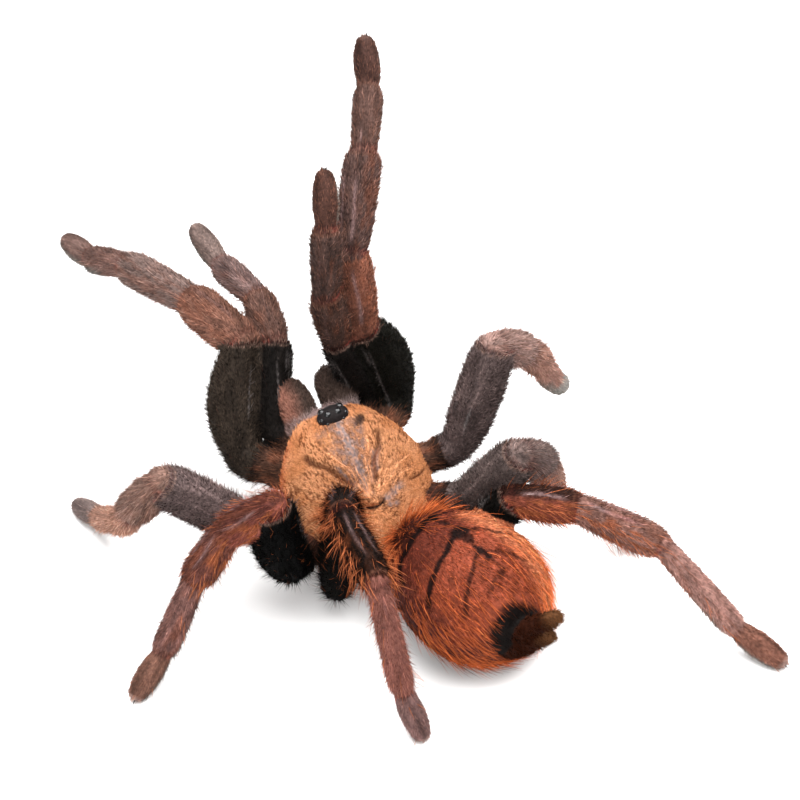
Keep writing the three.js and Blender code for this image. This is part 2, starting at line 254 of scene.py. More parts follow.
def girthOf(points, start, along, length):
    # full breadth of a piece through its corners, taken over its middle
    off = points - start
    reach = off @ along
    middle = (reach > 0.3 * length) & (reach < 0.75 * length)
    radial = off[middle] - np.outer(reach[middle], along)
    return 2 * np.percentile(np.linalg.norm(radial, axis=1), 70) / limbBuild["facetShare"]


def measureLimb(kind, side):
    names = [n for n in pieceNames if kind != "palp" or n != "metatarsus"]
    solids = [nodePoints(f"{kind}_{n}_{side}") for n in names]
    u, v, w = limbKinds[kind]["start"]
    joints = [fromProsoma(u, sidesOf[side] * v, w), jointBetween(solids[0], nodePoints("coxae_" + side))]
    joints += [jointBetween(near, far) for near, far in zip(solids, solids[1:])]
    away = np.linalg.norm(solids[-1] - joints[-1], axis=1)
    joints = np.array(joints + [solids[-1][away.argmax()]])
    alongs = unit(np.diff(joints, axis=0))
    lengths = np.linalg.norm(np.diff(joints, axis=0), axis=1)
    bend = np.cross(alongs[1], alongs[3])
    pieces = []
    for i, name in enumerate(["coxa"] + names):
        across, upper = crossAxes(alongs[i], np.cross(alongs[i], bend) if i else prosomaAxes[2])
        girth = girthOf(solids[i - 1], joints[i], alongs[i], lengths[i]) if i else limbKinds[kind]["girth"]
        pieces.append({"kind": kind, "side": side, "name": name, "start": joints[i], "along": alongs[i],
                       "length": lengths[i], "girth": girth, "across": across, "upper": upper,
                       "belly": limbKinds[kind]["belly"] if name == "femur" else 0,
                       "shape": "firstFemur" if (kind, name) == ("leg1", "femur") else name})
    return pieces


limbs = {(kind, side): measureLimb(kind, side) for kind in limbKinds for side in sidesOf}
allPieces = [p for pieces in limbs.values() for p in pieces]
for (kind, side), pieces in limbs.items():
    print("limb", kind, side, [f"{p['length']:.1f}x{p['girth']:.1f}" for p in pieces])


class Shape:
    # gathers the closed shapes that a piece is made of
    def __init__(self):
        self.parts, self.faces, self.count = [], [], 0

    def add(self, points, faces):
        self.parts.append(points)
        self.faces += [[i + self.count for i in f] for f in faces]
        self.count += len(points)

    def points(self):
        return np.concatenate(self.parts)


def latheFaces(rings, around):
    faces = []
    for r in range(rings - 1):
        for k in range(around):
            a, b = r * around + k, r * around + (k + 1) % around
            faces.append([a, b, b + around, a + around])
    faces.append([k for k in range(around)][::-1])
    faces.append([(rings - 1) * around + k for k in range(around)])
    return faces


def trisOf(faces):
    return np.array([[f[0], f[i], f[i + 1]] for f in faces for i in range(1, len(f) - 1)])


def turns(around):
    return np.arange(around) / around * 2 * math.pi


def lathe(start, along, across, upper, stations, radii, sag=0, flat=limbBuild["flat"], around=26):
    angles = turns(around)
    ring = np.cos(angles)[:, None] * across * flat[0] + np.sin(angles)[:, None] * upper * flat[1]
    centres = start + np.outer(stations, along) - np.outer(sag + np.zeros(len(stations)), upper)
    points = (centres[:, None] + np.asarray(radii)[:, None, None] * ring[None]).reshape(-1, 3)
    return points, latheFaces(len(stations), around)


def roundedProfile(length, outline, girth, inset, tip=False):
    # places and radii along a piece that ends in a dome at each end, and at a tip stays inside its length
    places, shares = zip(*outline)
    stations = np.linspace(0, 1, 18)
    radii = np.interp(stations, places, shares) * girth - inset
    dome = 0.9
    end = length - (radii[-1] + inset) * dome if tip else length
    angles = np.linspace(math.pi / 2, 0.12, 6)[1:]
    head = -np.cos(angles[::-1]) * radii[0] * dome
    tailEnd = end + np.cos(angles) * radii[-1] * dome
    return (np.concatenate([head, stations * end, tailEnd]),
            np.concatenate([np.sin(angles[::-1]) * radii[0], radii, np.sin(angles) * radii[-1]]))


def addPiece(shape, piece):
    stations, radii = roundedProfile(piece["length"], limbShape[piece["shape"]], piece["girth"],
                                     limbBuild["coatDepth"], tip=piece["name"] == "tarsus")
    sag = piece["belly"] * np.sin(math.pi * np.clip(stations / piece["length"], 0, 1))
    shape.add(*lathe(piece["start"], piece["along"], piece["across"], piece["upper"], stations, radii, sag))


def ballPoints(around, down):
    polar = np.linspace(0.03, math.pi - 0.03, down)
    angles = turns(around)
    return np.stack([-np.cos(polar)[:, None] + 0 * angles, np.sin(polar)[:, None] * np.cos(angles),
                     np.sin(polar)[:, None] * np.sin(angles)], axis=2).reshape(-1, 3)


def addBall(shape, centre, radii, axes, around=32, down=18):
    points = centre + (ballPoints(around, down) * radii) @ axes
    shape.add(points, [f[::-1] for f in latheFaces(down, around)])


# Jaws and spinnerets: outlines as place along and radius
jaw = {"from": (9.6, 2.75, -1.6), "to": (14.6, 2.7, -3.0), "inset": 0.2, "deep": 1.25,
       "outline": [(0, 2.1), (0.3, 2.35), (0.6, 2.45), (1, 2.15)]}
spinneret = {"length": 7.4, "turn": 236, "rise": 37, "tilt": -2, "rings": 26,
             "outline": [(0, 1.25), (0.3, 1.32), (0.5, 1.28), (0.54, 1.12), (0.7, 1.15), (0.76, 1.0),
                         (0.9, 0.85), (0.97, 0.6), (1, 0.25)]}


def addJaw(shape, side):
    start, end = [fromProsoma(u, sidesOf[side] * v, w) for u, v, w in (jaw["from"], jaw["to"])]
    length = np.linalg.norm(end - start)
    along = (end - start) / length
    stations, radii = roundedProfile(length, jaw["outline"], 1, jaw["inset"])
    shape.add(*lathe(start, along, *crossAxes(along, prosomaAxes[2]), stations, radii, flat=(1, jaw["deep"])))
    return start, along, length


def addSpinneret(shape, side):
    points = nodePoints("spinneret_" + side)
    along = pointing(spinneret["turn"], spinneret["rise"] + sidesOf[side] * spinneret["tilt"])
    length = spinneret["length"]
    start = points[(points @ along).argmax()] - along * length
    places, radii = zip(*spinneret["outline"])
    stations = np.linspace(0, 1, spinneret["rings"])
    shape.add(*lathe(start, along, *crossAxes(along, [0, 0, 1]), stations * length,
                     np.interp(stations, places, radii), flat=(1, 1)))
    return start, along, length


def makeSkinShape():
    shape = Shape()
    for piece in allPieces:
        addPiece(shape, piece)
    p = ballPoints(48, 30)
    narrow = 1 - 0.1 * p[:, 0] - 0.05 * p[:, 0] ** 2  # the abdomen is an egg with its blunt end behind
    egg = p * (abdomen["half"] - abdomen["coatDepth"]) * np.stack([np.ones(len(p)), narrow, narrow], 1)
    shape.add(abdomenCentre + egg @ abdomenAxes, [f[::-1] for f in latheFaces(30, 48)])
    for place, radii in (prosoma["belly"], prosoma["lip"]):
        addBall(shape, fromProsoma(*place), radii, prosomaAxes)
    start = fromProsoma(*stalk["from"])
    end = abdomenCentre + abdomenAxes[0] * stalk["reach"]
    reach = np.linalg.norm(end - start)
    along = (end - start) / reach
    shape.add(*lathe(start, along, *crossAxes(along, [0, 0, 1]), np.linspace(0, reach, stalk["rings"]),
                     np.full(stalk["rings"], stalk["radius"])))
    return shape, [addJaw(shape, side) for side in sidesOf], [addSpinneret(shape, side) for side in sidesOf]


def remeshed(shape, size):
    rough = addObject("rough", meshFrom("rough", shape.points().tolist(), shape.faces))
    step = rough.modifiers.new("voxels", "REMESH")
    step.mode = "VOXEL"
    step.voxel_size = size
    graph = bpy.context.evaluated_depsgraph_get()
    made = bpy.data.meshes.new_from_object(rough.evaluated_get(graph))
    bpy.data.objects.remove(rough)
    points = np.empty(len(made.vertices) * 3)
    made.vertices.foreach_get("co", points)
    counts = np.empty(len(made.polygons), np.int64)
    made.polygons.foreach_get("loop_total", counts)
    corners = np.empty(len(made.loops), np.int64)
    made.loops.foreach_get("vertex_index", corners)
    bpy.data.meshes.remove(made)
    starts = np.cumsum(counts) - counts
    quads, threes = starts[counts == 4], starts[counts == 3]
    picks = ((quads, 1, 2), (quads, 2, 3), (threes, 1, 2))
    tris = [np.stack([corners[s], corners[s + b], corners[s + c]], 1) for s, b, c in picks]
    return points.reshape(-1, 3), np.concatenate(tris)


def smoothed(points, tris, rounds, strength=0.5):
    edges = np.concatenate([tris[:, [0, 1]], tris[:, [1, 2]], tris[:, [2, 0]]])
    ends = np.concatenate([edges, edges[:, ::-1]])
    share = np.bincount(ends[:, 0], minlength=len(points))
    for _ in range(rounds):
        total = np.stack([np.bincount(ends[:, 0], points[ends[:, 1], k], len(points)) for k in range(3)], 1)
        points = points + strength * (total / share[:, None] - points)
    return points


def faceNormals(points, tris):
    a, b, c = points[tris[:, 0]], points[tris[:, 1]], points[tris[:, 2]]
    return np.cross(b - a, c - a)


def areaOf(points, tris):
    return np.linalg.norm(faceNormals(points, tris), axis=1) / 2


def normalsOf(points, tris):
    face = faceNormals(points, tris)
    total = [sum(np.bincount(tris[:, c], face[:, k], len(points)) for c in range(3)) for k in range(3)]
    return unit(np.stack(total, 1))


skinBuild = {"voxel": 0.3, "rounds": 4, "lowest": 0.02}
skinShape, jaws, spinnerets = makeSkinShape()
skinPoints, skinTris = remeshed(skinShape, skinBuild["voxel"])
skinPoints = smoothed(skinPoints, skinTris, skinBuild["rounds"])
skinPoints[:, 2] = np.maximum(skinPoints[:, 2], skinBuild["lowest"])
print("skin:", len(skinPoints), "points,", len(skinTris), "triangles")

# Which part of the animal a point belongs to: a limb piece by its number, or one of these
bodyCode = {"abdomen": 1000, "body": 1001, "jaw": 1002, "spinneret": 1003}
# Radii that a part keeps to itself: a limb piece's in girths, the rest in millimetres
ownReach = {"piece": 0.46, "coxaBehind": 0.25, "pastEnd": 0.35, "abdomen": 9, "belly": 3, "jaw": 2.5,
            "spinneret": 1.15}


def axisDistance(points, start, along, length):
    off = points - start
    reach = off @ along
    radial = off - np.outer(np.clip(reach / length, 0, 1) * length, along)
    past = np.maximum(reach - length, 0)
    distance = np.linalg.norm(radial, axis=1) + ownReach["pastEnd"] * past
    return np.clip(reach / length, -0.3, 1.3), radial, distance


def locate(points):
    # for each point: the code of its part, how far along that part it is, and the angle round it
    best = np.full(len(points), 1e9)
    code = np.full(len(points), bodyCode["body"])
    share, angle = np.zeros(len(points)), np.zeros(len(points))

    def claim(gap, owner, t=None):
        near = gap < best
        best[near], code[near] = gap[near], owner
        if t is not None:
            share[near] = t[near]
        return near

    def angleOf(radial, piece):
        return np.arctan2(radial @ piece["across"], radial @ piece["upper"])

    for i, piece in enumerate(allPieces):
        t, radial, distance = axisDistance(points, piece["start"], piece["along"], piece["length"])
        behind = ownReach["coxaBehind"] if piece["name"] == "coxa" else 0
        near = claim(distance - ownReach["piece"] * piece["girth"] + behind, i, t)
        angle[near] = angleOf(radial[near], piece)
    # a rounded end past a joint carries the coat of the piece that follows
    for i, (piece, nextOne) in enumerate(zip(allPieces, allPieces[1:])):
        over = (code == i) & (share > 1.02)
        if piece["name"] != "tarsus" and over.any():
            t, radial, _ = axisDistance(points[over], nextOne["start"], nextOne["along"], nextOne["length"])
            code[over], share[over], angle[over] = i + 1, t, angleOf(radial, nextOne)
    claim((np.linalg.norm(inAbdomen(points), axis=1) - 1) * ownReach["abdomen"], bodyCode["abdomen"])
    place, radii = prosoma["belly"]
    held = (points - fromProsoma(*place)) @ prosomaAxes.T
    claim((np.linalg.norm(held / radii, axis=1) - 1) * ownReach["belly"], bodyCode["body"])
    for name, found in (("jaw", jaws), ("spinneret", spinnerets)):
        for start, along, length in found:
            t, _, distance = axisDistance(points, start, along, length)
            claim(distance - ownReach[name], bodyCode[name], t)
    return code, share, angle


# Colours of the limbs' coat, as plain reflectances, and how strong the marks are: the pale lines, the
# pale tip of the foot, the red streaks and the painted shade on the top of knee and shin
frontLook = {"coxa": (0.085, 0.04, 0.026), "femur": (0.009, 0.007, 0.006), "patella": (0.12, 0.052, 0.036),
             "tibia": (0.12, 0.069, 0.057), "metatarsus": (0.16, 0.09, 0.075), "tarsus": (0.14, 0.085, 0.072)}
rearLook = {"coxa": (0.06, 0.026, 0.018), "femur": (0.003, 0.0025, 0.002), "patella": (0.085, 0.027, 0.018),
            "tibia": (0.12, 0.05, 0.038), "metatarsus": (0.17, 0.085, 0.07), "tarsus": (0.14, 0.065, 0.05)}
kindLook = {
    "palp": {**frontLook, "lines": 0.12, "footPad": 0.0, "streak": 0.15, "shadedTop": 0.25, "bristles": 1},
    "leg1": {**frontLook, "lines": 0.3, "footPad": 0.1, "streak": 0.2, "shadedTop": 0.4, "bristles": 1},
    "leg2": {**frontLook, "lines": 0.15, "footPad": 0.45, "streak": 0.12, "shadedTop": 0.1, "bristles": 1},
    "leg3": {**rearLook, "lines": 0.6, "footPad": 0.85, "streak": 0.75, "shadedTop": 0.85, "bristles": 1},
    "leg4": {**rearLook, "lines": 0.8, "footPad": 0.8, "streak": 0.75, "shadedTop": 0.9, "bristles": 1},
}
# What each limb has of its own. Where a limb's colours differ from its partner's on the other side, the
# difference is painted light and shade: the raised right palp, the right first leg and the left third femur
# are darker as painted shade, the second legs are lighter as painted light, and the grey of the second and
# right third femora is a painted sheen
limbOwnAndPaintedLight = {
    "palp_left": {
        "patella": (0.12, 0.064, 0.05), "tibia": (0.195, 0.127, 0.117), "tarsus": (0.166, 0.117, 0.103)},
    "palp_right": {
        "patella": (0.06, 0.032, 0.025), "tibia": (0.062, 0.036, 0.03), "tarsus": (0.06, 0.027, 0.02)},
    "leg1_left": {
        "femur": (0.03, 0.0215, 0.016), "patella": (0.22, 0.104, 0.074), "tibia": (0.182, 0.123, 0.108)},
    "leg1_right": {
        "femur": (0.009, 0.008, 0.006), "patella": (0.205, 0.078, 0.05), "tibia": (0.074, 0.042, 0.036),
        "metatarsus": (0.085, 0.046, 0.037), "tarsus": (0.057, 0.027, 0.021), "lines": 0.7},
    "leg2_left": {
        "femur": (0.115, 0.08, 0.076), "patella": (0.21, 0.125, 0.1), "tibia": (0.43, 0.222, 0.156),
        "metatarsus": (0.34, 0.18, 0.13), "tarsus": (0.17, 0.125, 0.115)},
    "leg2_right": {
        "femur": (0.09, 0.063, 0.059), "patella": (0.28, 0.175, 0.15), "tibia": (0.32, 0.165, 0.125),
        "metatarsus": (0.30, 0.155, 0.12), "tarsus": (0.24, 0.22, 0.20)},
    "leg3_left": {
        "femur": (0.0006, 0.0005, 0.0004), "patella": (0.21, 0.062, 0.046), "tibia": (0.14, 0.052, 0.04),
        "metatarsus": (0.165, 0.08, 0.068), "tarsus": (0.152, 0.073, 0.052), "streak": 0.95, "shadedTop": 0.6},
    "leg3_right": {
        "femur": (0.085, 0.062, 0.057), "patella": (0.15, 0.105, 0.095), "tibia": (0.32, 0.18, 0.14),
        "metatarsus": (0.25, 0.14, 0.11), "lines": 0.35, "streak": 0.1, "shadedTop": 0.1, "bristles": 0.03},
    "leg4_left": {
        "patella": (0.006, 0.002, 0.001), "tibia": (0.006, 0.002, 0.001), "metatarsus": (0.205, 0.078, 0.06),
        "tarsus": (0.158, 0.086, 0.078), "lines": 0.5, "streak": 0.25, "bristles": 1.3},
    "leg4_right": {
        "patella": (0.20, 0.053, 0.032), "tibia": (0.27, 0.135, 0.108), "metatarsus": (0.31, 0.165, 0.138),
        "tarsus": (0.168, 0.072, 0.05), "lines": 1.0, "streak": 0.8, "shadedTop": 1.0, "bristles": 0.6},
}
limbLook = {(kind, side): {**kindLook[kind], **limbOwnAndPaintedLight[kind + "_" + side]} for kind, side in limbs}
limbMarks = {"streak": (0.30, 0.085, 0.035), "stripe": (0.25, 0.155, 0.15), "line": (0.15, 0.13, 0.125),
             "arc": (0.30, 0.18, 0.14), "ring": (0.20, 0.08, 0.05), "joint": (0.20, 0.04, 0.03),
             "dark": (0.010, 0.007, 0.006), "paleHair": (0.045, 0.016, 0.006), "scopula": (0.14, 0.13, 0.115),
             "pad": (0.40, 0.26, 0.22)}
# Pale lines along a piece: angle round it, from, to, half breadth as an angle
limbLines = {"femur": [(0.35, 0.12, 0.9, 0.05), (-0.5, 0.3, 0.85, 0.045), (0.12, 0.62, 0.95, 0.07)],
             "patella": [(0.5, 0.1, 0.9, 0.085), (-0.5, 0.15, 0.95, 0.075)],
             "tibia": [(0.35, 0.04, 0.8, 0.08), (-0.35, 0.06, 0.8, 0.08)],
             "metatarsus": [(0.2, 0.02, 0.3, 0.06)]}
# Joints, in millimetres: where the pale band is from the end of a piece, how broad it is on a femur and on
# the rest, how broad the dark crease beyond it is, and the red skin on either side
jointMarks = {"from": 0.35, "arc": 0.11, "ring": 0.16, "crease": 0.14, "skin": 0.15, "skinBeyond": 0.4}
# How the coat varies: lumps in millimetres, then its darkest and how much brighter it gets
coatGrain = {"lump": 0.7, "dark": 0.55, "gain": 0.9, "streakLump": 0.5, "streaks": (0.45, 0.7)}
# How strongly marks cover the coat, and how much brighter and barer a pale line is than the coat beside it;
# patellaTop and tibiaTop are how strongly the painted shade darkens the top of knee and shin
markShare = {"coxaStreak": 0.25, "coxaEnd": 0.85, "patellaTop": 0.9, "tibiaTop": 0.3, "arc": 0.7, "ring": 0.5,
             "crease": 0.6, "joint": 0.7, "scopula": 0.85, "midline": 0.35}
lineLook = {"femur": {"mark": "line", "share": 0.85, "brighter": 2.0, "bare": 0.3},
            "other": {"mark": "stripe", "share": 0.95, "brighter": 1.6, "bare": 0.35}}


def limbPaint(piece, t, angle):
    # colour of the coat on one limb piece, and how bare it is from 0 to 1
    name, length, away = piece["name"], piece["length"], np.abs(angle)
    look = limbLook[piece["kind"], piece["side"]]
    onFemur = name == "femur"
    stretched = np.stack([t * length * 0.3, angle * 2.2, np.full(len(t), length)], 1)
    grain = noise(stretched, coatGrain["lump"], 3)
    colour = evenly(look[name], len(t)) * (coatGrain["dark"] + coatGrain["gain"] * grain)[:, None]
    if name in ("patella", "tibia", "metatarsus"):
        streaks = smoothstep(*coatGrain["streaks"], noise(stretched, coatGrain["streakLump"], 5))
        streaks *= 0.3 + 0.7 * smoothstep(0.4, 1.1, away)
        streaks *= 0.25 if name == "metatarsus" else 1
        colour = mix(colour, limbMarks["streak"], streaks * look["streak"])
    if name == "coxa":
        streaks = smoothstep(*coatGrain["streaks"], grain)
        colour = mix(colour, limbMarks["streak"], markShare["coxaStreak"] * streaks)
        colour = mix(colour, limbMarks["dark"], markShare["coxaEnd"] * smoothstep(0.62, 0.78, t))
    # the top of knee and shin is darkened as painted shade
    if name in ("patella", "tibia"):
        shadeOnTop = fade(0.45, 1.05, away) * look["shadedTop"]
        colour = mix(colour, limbMarks["dark"], shadeOnTop * markShare[name + "Top"])
    bare = np.zeros(len(t))
    pale = lineLook["femur" if onFemur else "other"]
    for middle, low, high, breadth in limbLines.get(name, []):
        wave = 0.07 * np.sin(t * 7 + length)
        width = breadth * (0.6 + 0.8 * noise(stretched * (1, 0, 1), 0.5, 8))
        line = bell((angle - middle - wave) / width) * smoothstep(low, low + 0.12, t)
        line *= fade(high - 0.2, high, t)
        line *= pale["share"] * (1 if onFemur else look["lines"])
        colour = mix(colour, np.maximum(limbMarks[pale["mark"]], pale["brighter"] * colour), line)
        bare = np.maximum(bare, pale["bare"] * line)
    toNear, toFar = t * length, (1 - t) * length
    inside = 0.25 + 0.75 * smoothstep(0.8, 1.8, away)
    if name not in ("coxa", "tarsus"):
        band = "arc" if onFemur else "ring"
        rim = bell((toFar - jointMarks["from"]) / jointMarks[band])
        colour = mix(colour, limbMarks[band], markShare[band] * rim)
        colour *= (1 - markShare["crease"] * bell((toFar - 0.02) / jointMarks["crease"]))[:, None]
        seam = bell(toFar / jointMarks["skin"]) * inside
        colour = mix(colour, limbMarks["joint"], markShare["joint"] * seam)
        bare = np.maximum(bare, seam)
    if name not in ("coxa", "femur"):
        seam = bell((toNear + 0.2) / jointMarks["skinBeyond"]) * inside
        colour = mix(colour, limbMarks["joint"], markShare["joint"] * seam)
        colour *= (1 - 0.45 * bell((toNear - 0.1) / 0.3))[:, None]
        bare = np.maximum(bare, seam * 0.8)
    if name in ("metatarsus", "tarsus"):
        below = smoothstep(1.8, 2.5, away) * (1 if name == "tarsus" else smoothstep(0.3, 0.7, t))
        colour = mix(colour, limbMarks["scopula"], markShare["scopula"] * below)
    if name == "tarsus":
        colour = mix(colour, limbMarks["pad"], look["footPad"] * smoothstep(0.84, 0.93, t))
        midline = bell(angle / 0.3) * smoothstep(0.1, 0.3, t) * fade(0.7, 0.9, t)
        colour *= (1 - markShare["midline"] * midline)[:, None]
    return colour, bare


# the right colour is painted light on the right flank, where the light falls
abdomenColour = {"front": (0.045, 0.012, 0.008), "fore": (0.11, 0.024, 0.014), "back": (0.245, 0.054, 0.027),
                 "flank": (0.08, 0.026, 0.021), "right": (0.50, 0.16, 0.076), "stripe": (0.003, 0.002, 0.002),
                 "under": (0.012, 0.007, 0.005), "rear": (0.005, 0.003, 0.0025)}
# Where each field of colour starts and is full: along it, or as an angle round it
abdomenFields = {"fore": (0.1, 0.4), "flank": (0.9, 1.6), "right": (-0.2, -0.6), "rightEnds": (0.3, 0.6),
                 "front": (0.62, 0.72), "under": (1.55, 2.15)}
tail = {"centre": (-0.86, 0.30, 0.32), "inner": 0.36, "outer": 0.52}
# Dark blobs on the middle line: place along, place round, half length, half breadth round, strength
abdomenBlobs = [(0.66, -0.15, 0.07, 0.13, 1), (0.54, -0.12, 0.14, 0.05, 0.9), (0.27, -0.05, 0.09, 0.15, 1),
                (0.14, -0.02, 0.08, 0.07, 0.9), (-0.04, 0.04, 0.11, 0.07, 1), (-0.14, 0.03, 0.06, 0.06, 1),
                (-0.26, 0.04, 0.1, 0.02, 0.7), (-0.36, 0.1, 0.03, 0.14, 0.6)]
# Arms that leave them down each flank: points (along, round), half breadth along, strength
abdomenArms = [([(0.68, -0.1), (0.65, 0.4), (0.61, 0.9), (0.52, 1.15), (0.42, 1.2)], 0.032, 1),
               ([(0.29, 0.0), (0.22, 0.4), (0.15, 0.8), (0.03, 1.12)], 0.030, 1),
               ([(-0.04, 0.1), (-0.1, 0.28), (-0.21, 0.55), (-0.36, 0.92)], 0.024, 0.8),
               ([(-0.36, 0.05), (-0.37, 0.25), (-0.42, 0.42)], 0.02, 0.5),
               ([(0.70, -0.15), (0.66, -0.35), (0.56, -0.6)], 0.03, 0.9),
               ([(0.26, -0.1), (0.18, -0.26), (0.02, -0.42), (-0.1, -0.6)], 0.022, 0.85),
               ([(-0.08, 0.0), (-0.25, -0.2), (-0.45, -0.42)], 0.018, 0.7)]


def distanceToLine(x, y, line, stretch):
    # distance in a flat map from a bent line, the second way scaled by stretch
    best = np.full(len(x), 9.0)
    for (ax, ay), (bx, by) in zip(line, line[1:]):
        dx, dy = bx - ax, (by - ay) * stretch
        px, py = x - ax, (y - ay) * stretch
        share = np.clip((px * dx + py * dy) / (dx * dx + dy * dy), 0, 1)
        best = np.minimum(best, np.hypot(px - share * dx, py - share * dy))
    return best


def fromTail(p):
    # how far a place on the abdomen is from the spinnerets' roots, on a ball of radius 1
    return np.linalg.norm(unit(p) - unit(np.array(tail["centre"])), axis=1)


def tailShare(points):
    # 1 in the dark area round the spinnerets, 0 outside it; the area is dark hair with painted shade on it
    gap = fromTail(inAbdomen(points)) + 0.12 * (noise(points, 0.8, 18) - 0.5)
    return fade(tail["inner"], tail["outer"], gap)


def abdomenPaint(points):
    p = inAbdomen(points)
    x = p[:, 0] + 0.03 * (noise(points, 1.1, 12) - 0.5)
    # the angle round it is 0 on the back and positive on the left
    around = np.arctan2(p[:, 1], p[:, 2]) + 0.08 * (noise(points, 0.9, 13) - 0.5)
    ways = {"fore": x, "flank": around, "right": around, "front": x, "under": np.abs(around)}
    colour = evenly(abdomenColour["back"], len(points))
    for name, way in ways.items():
        share = smoothstep(*abdomenFields[name], way)
        # the right field is painted light on the right flank
        share = share * fade(*abdomenFields["rightEnds"], x) if name == "right" else share
        colour = mix(colour, abdomenColour[name], share)
    colour *= (0.65 + 0.7 * noise(points, 0.6, 9))[:, None]
    dark = np.zeros(len(points))
    for along, aside, halfLong, halfRound, strength in abdomenBlobs:
        gap = np.hypot((x - along) / halfLong, (around - aside) / halfRound)
        dark = np.maximum(dark, strength * fade(0.75, 1.25, gap))
    for line, breadth, strength in abdomenArms:
        gap = distanceToLine(x, around, line, 0.7) / (breadth * (0.8 + 0.5 * noise(points, 0.7, 15)))
        dark = np.maximum(dark, strength * fade(0.6, 1.5, gap))
    behind = tailShare(points)
    colour = mix(colour, abdomenColour["stripe"], 0.95 * dark)
    return mix(colour, abdomenColour["rear"], behind), 0.3 * dark * (1 - behind)


bodyColour = {"body": (0.04, 0.022, 0.018), "jaw": (0.045, 0.029, 0.023), "jawSide": (0.30, 0.13, 0.092),
              "jawTop": (0.22, 0.16, 0.15), "spinneret": (0.026, 0.006, 0.002),
              "spinneretTip": (0.12, 0.05, 0.02)}


def bodyPaint(points, code, t):
    u, v, _ = inProsoma(points).T
    shade = {name: evenly(bodyColour[name], len(points)) for name in ("body", "jaw", "spinneret")}
    shade["jaw"] = mix(shade["jaw"], bodyColour["jawSide"],
                       smoothstep(1.8, 4.6, v) * (0.4 + 0.6 * noise(points, 1.2, 22)))
    shade["jaw"] = mix(shade["jaw"], bodyColour["jawTop"], 0.7 * fade(10.0, 11.3, u))
    shade["spinneret"] = mix(shade["spinneret"], bodyColour["spinneretTip"], smoothstep(0.55, 0.9, t))
    colour = shade["body"]
    for name in ("jaw", "spinneret"):
        colour[code == bodyCode[name]] = shade[name][code == bodyCode[name]]
    return colour * (0.75 + 0.5 * noise(points, 0.6, 21))[:, None], np.zeros(len(points))


def paint(points):
    code, t, angle = locate(points)
    colour, bare = np.zeros((len(points), 3)), np.zeros(len(points))
    for i, piece in enumerate(allPieces):
        here = code == i
        if here.any():
            colour[here], bare[here] = limbPaint(piece, t[here], angle[here])
    here = code == bodyCode["abdomen"]
    colour[here], bare[here] = abdomenPaint(points[here])
    here = code > bodyCode["abdomen"]
    colour[here], bare[here] = bodyPaint(points[here], code[here], t[here])
    return code, t, angle, colour, bare


def makePiece(name, points, tris, colour, material, uv=None):
    mesh = bpy.data.meshes.new(name)
    mesh.vertices.add(len(points))
    mesh.vertices.foreach_set("co", (points * mm).astype(np.float32).ravel())
    mesh.loops.add(len(tris) * 3)
    mesh.loops.foreach_set("vertex_index", tris.astype(np.int32).ravel())
    mesh.polygons.add(len(tris))
    mesh.polygons.foreach_set("loop_start", np.arange(0, len(tris) * 3, 3, dtype=np.int32))
    mesh.polygons.foreach_set("use_smooth", np.ones(len(tris), bool))
    tint = mesh.attributes.new("tint", "FLOAT_COLOR", "POINT")
    solid = np.concatenate([colour, np.ones((len(colour), 1))], 1)
    tint.data.foreach_set("color", solid.astype(np.float32).ravel())
    if uv is not None:
        layer = mesh.uv_layers.new(name="OFBake")
        layer.data.foreach_set("uv", uv[tris.ravel()].astype(np.float32).ravel())
    mesh.update()
    mesh.validate()
    mesh.materials.append(material)
    piece = addObject(name, mesh)
    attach(piece, "root")
    return piece


def pieceOf(name, shape, colour, material):
    points = shape.points()
    return makePiece(name, points, trisOf(shape.faces), evenly(colour, len(points)), material)


# Materials: all take their colour from the piece's own tint, with a fine speckle and relief
def addNode(tree, kind, place, values):
    node = tree.nodes.new("ShaderNode" + kind)
    for name, value in values.items():
        node.inputs[name].default_value = value
    tree.links.new(place, node.inputs[0])
    return node


def tintedMaterial(name, roughness, specular, relief=None, speckle=0.0):
    material, shader = newMaterial(name, roughness, specular)
    tree = material.node_tree
    tint = tree.nodes.new("ShaderNodeAttribute")
    tint.attribute_name = "tint"
    colour = tint.outputs["Color"]
    place = tree.nodes.new("ShaderNodeTexCoord").outputs["Object"]
    if speckle:
        grain = addNode(tree, "TexNoise", place, {"Scale": 2600, "Detail": 3})
        spread = addNode(tree, "MapRange", grain.outputs["Fac"], {
            "From Min": 0.35, "From Max": 0.65, "To Min": 1 - speckle, "To Max": 1 + speckle})
        scaled = addNode(tree, "VectorMath", colour, {})
        scaled.operation = "SCALE"
        tree.links.new(spread.outputs["Result"], scaled.inputs["Scale"])
        colour = scaled.outputs["Vector"]
    tree.links.new(colour, shader.inputs["Base Color"])
    if relief:
        scale, strength, height = relief
        bumps = addNode(tree, "TexNoise", place, {"Scale": scale, "Detail": 4})
        lift = tree.nodes.new("ShaderNodeBump")
        lift.inputs["Strength"].default_value = strength
        lift.inputs["Distance"].default_value = height * mm
        tree.links.new(bumps.outputs["Fac"], lift.inputs["Height"])
        tree.links.new(lift.outputs["Normal"], shader.inputs["Normal"])
    return material


# roughness, specular, then relief as scale, strength and height, and speckle
skinMaterial = tintedMaterial("skinUnderCoat", 0.7, 0.06, (1500, 0.6, 0.12), 0.3)
coatMaterial = tintedMaterial("coatHair", 0.7, 0.03)
plateMaterial = tintedMaterial("plateUnderCoat", 0.5, 0.14, (1800, 0.5, 0.08), 0.3)
moundMaterial = tintedMaterial("eyeMound", 0.6, 0.1, (2200, 0.7, 0.12), 0.3)
eyeMaterial = tintedMaterial("wetEye", 0.08, 0.4, speckle=0.4)
hornMaterial = tintedMaterial("polishedHorn", 0.4, 0.14, (500, 0.15, 0.05), 0.4)

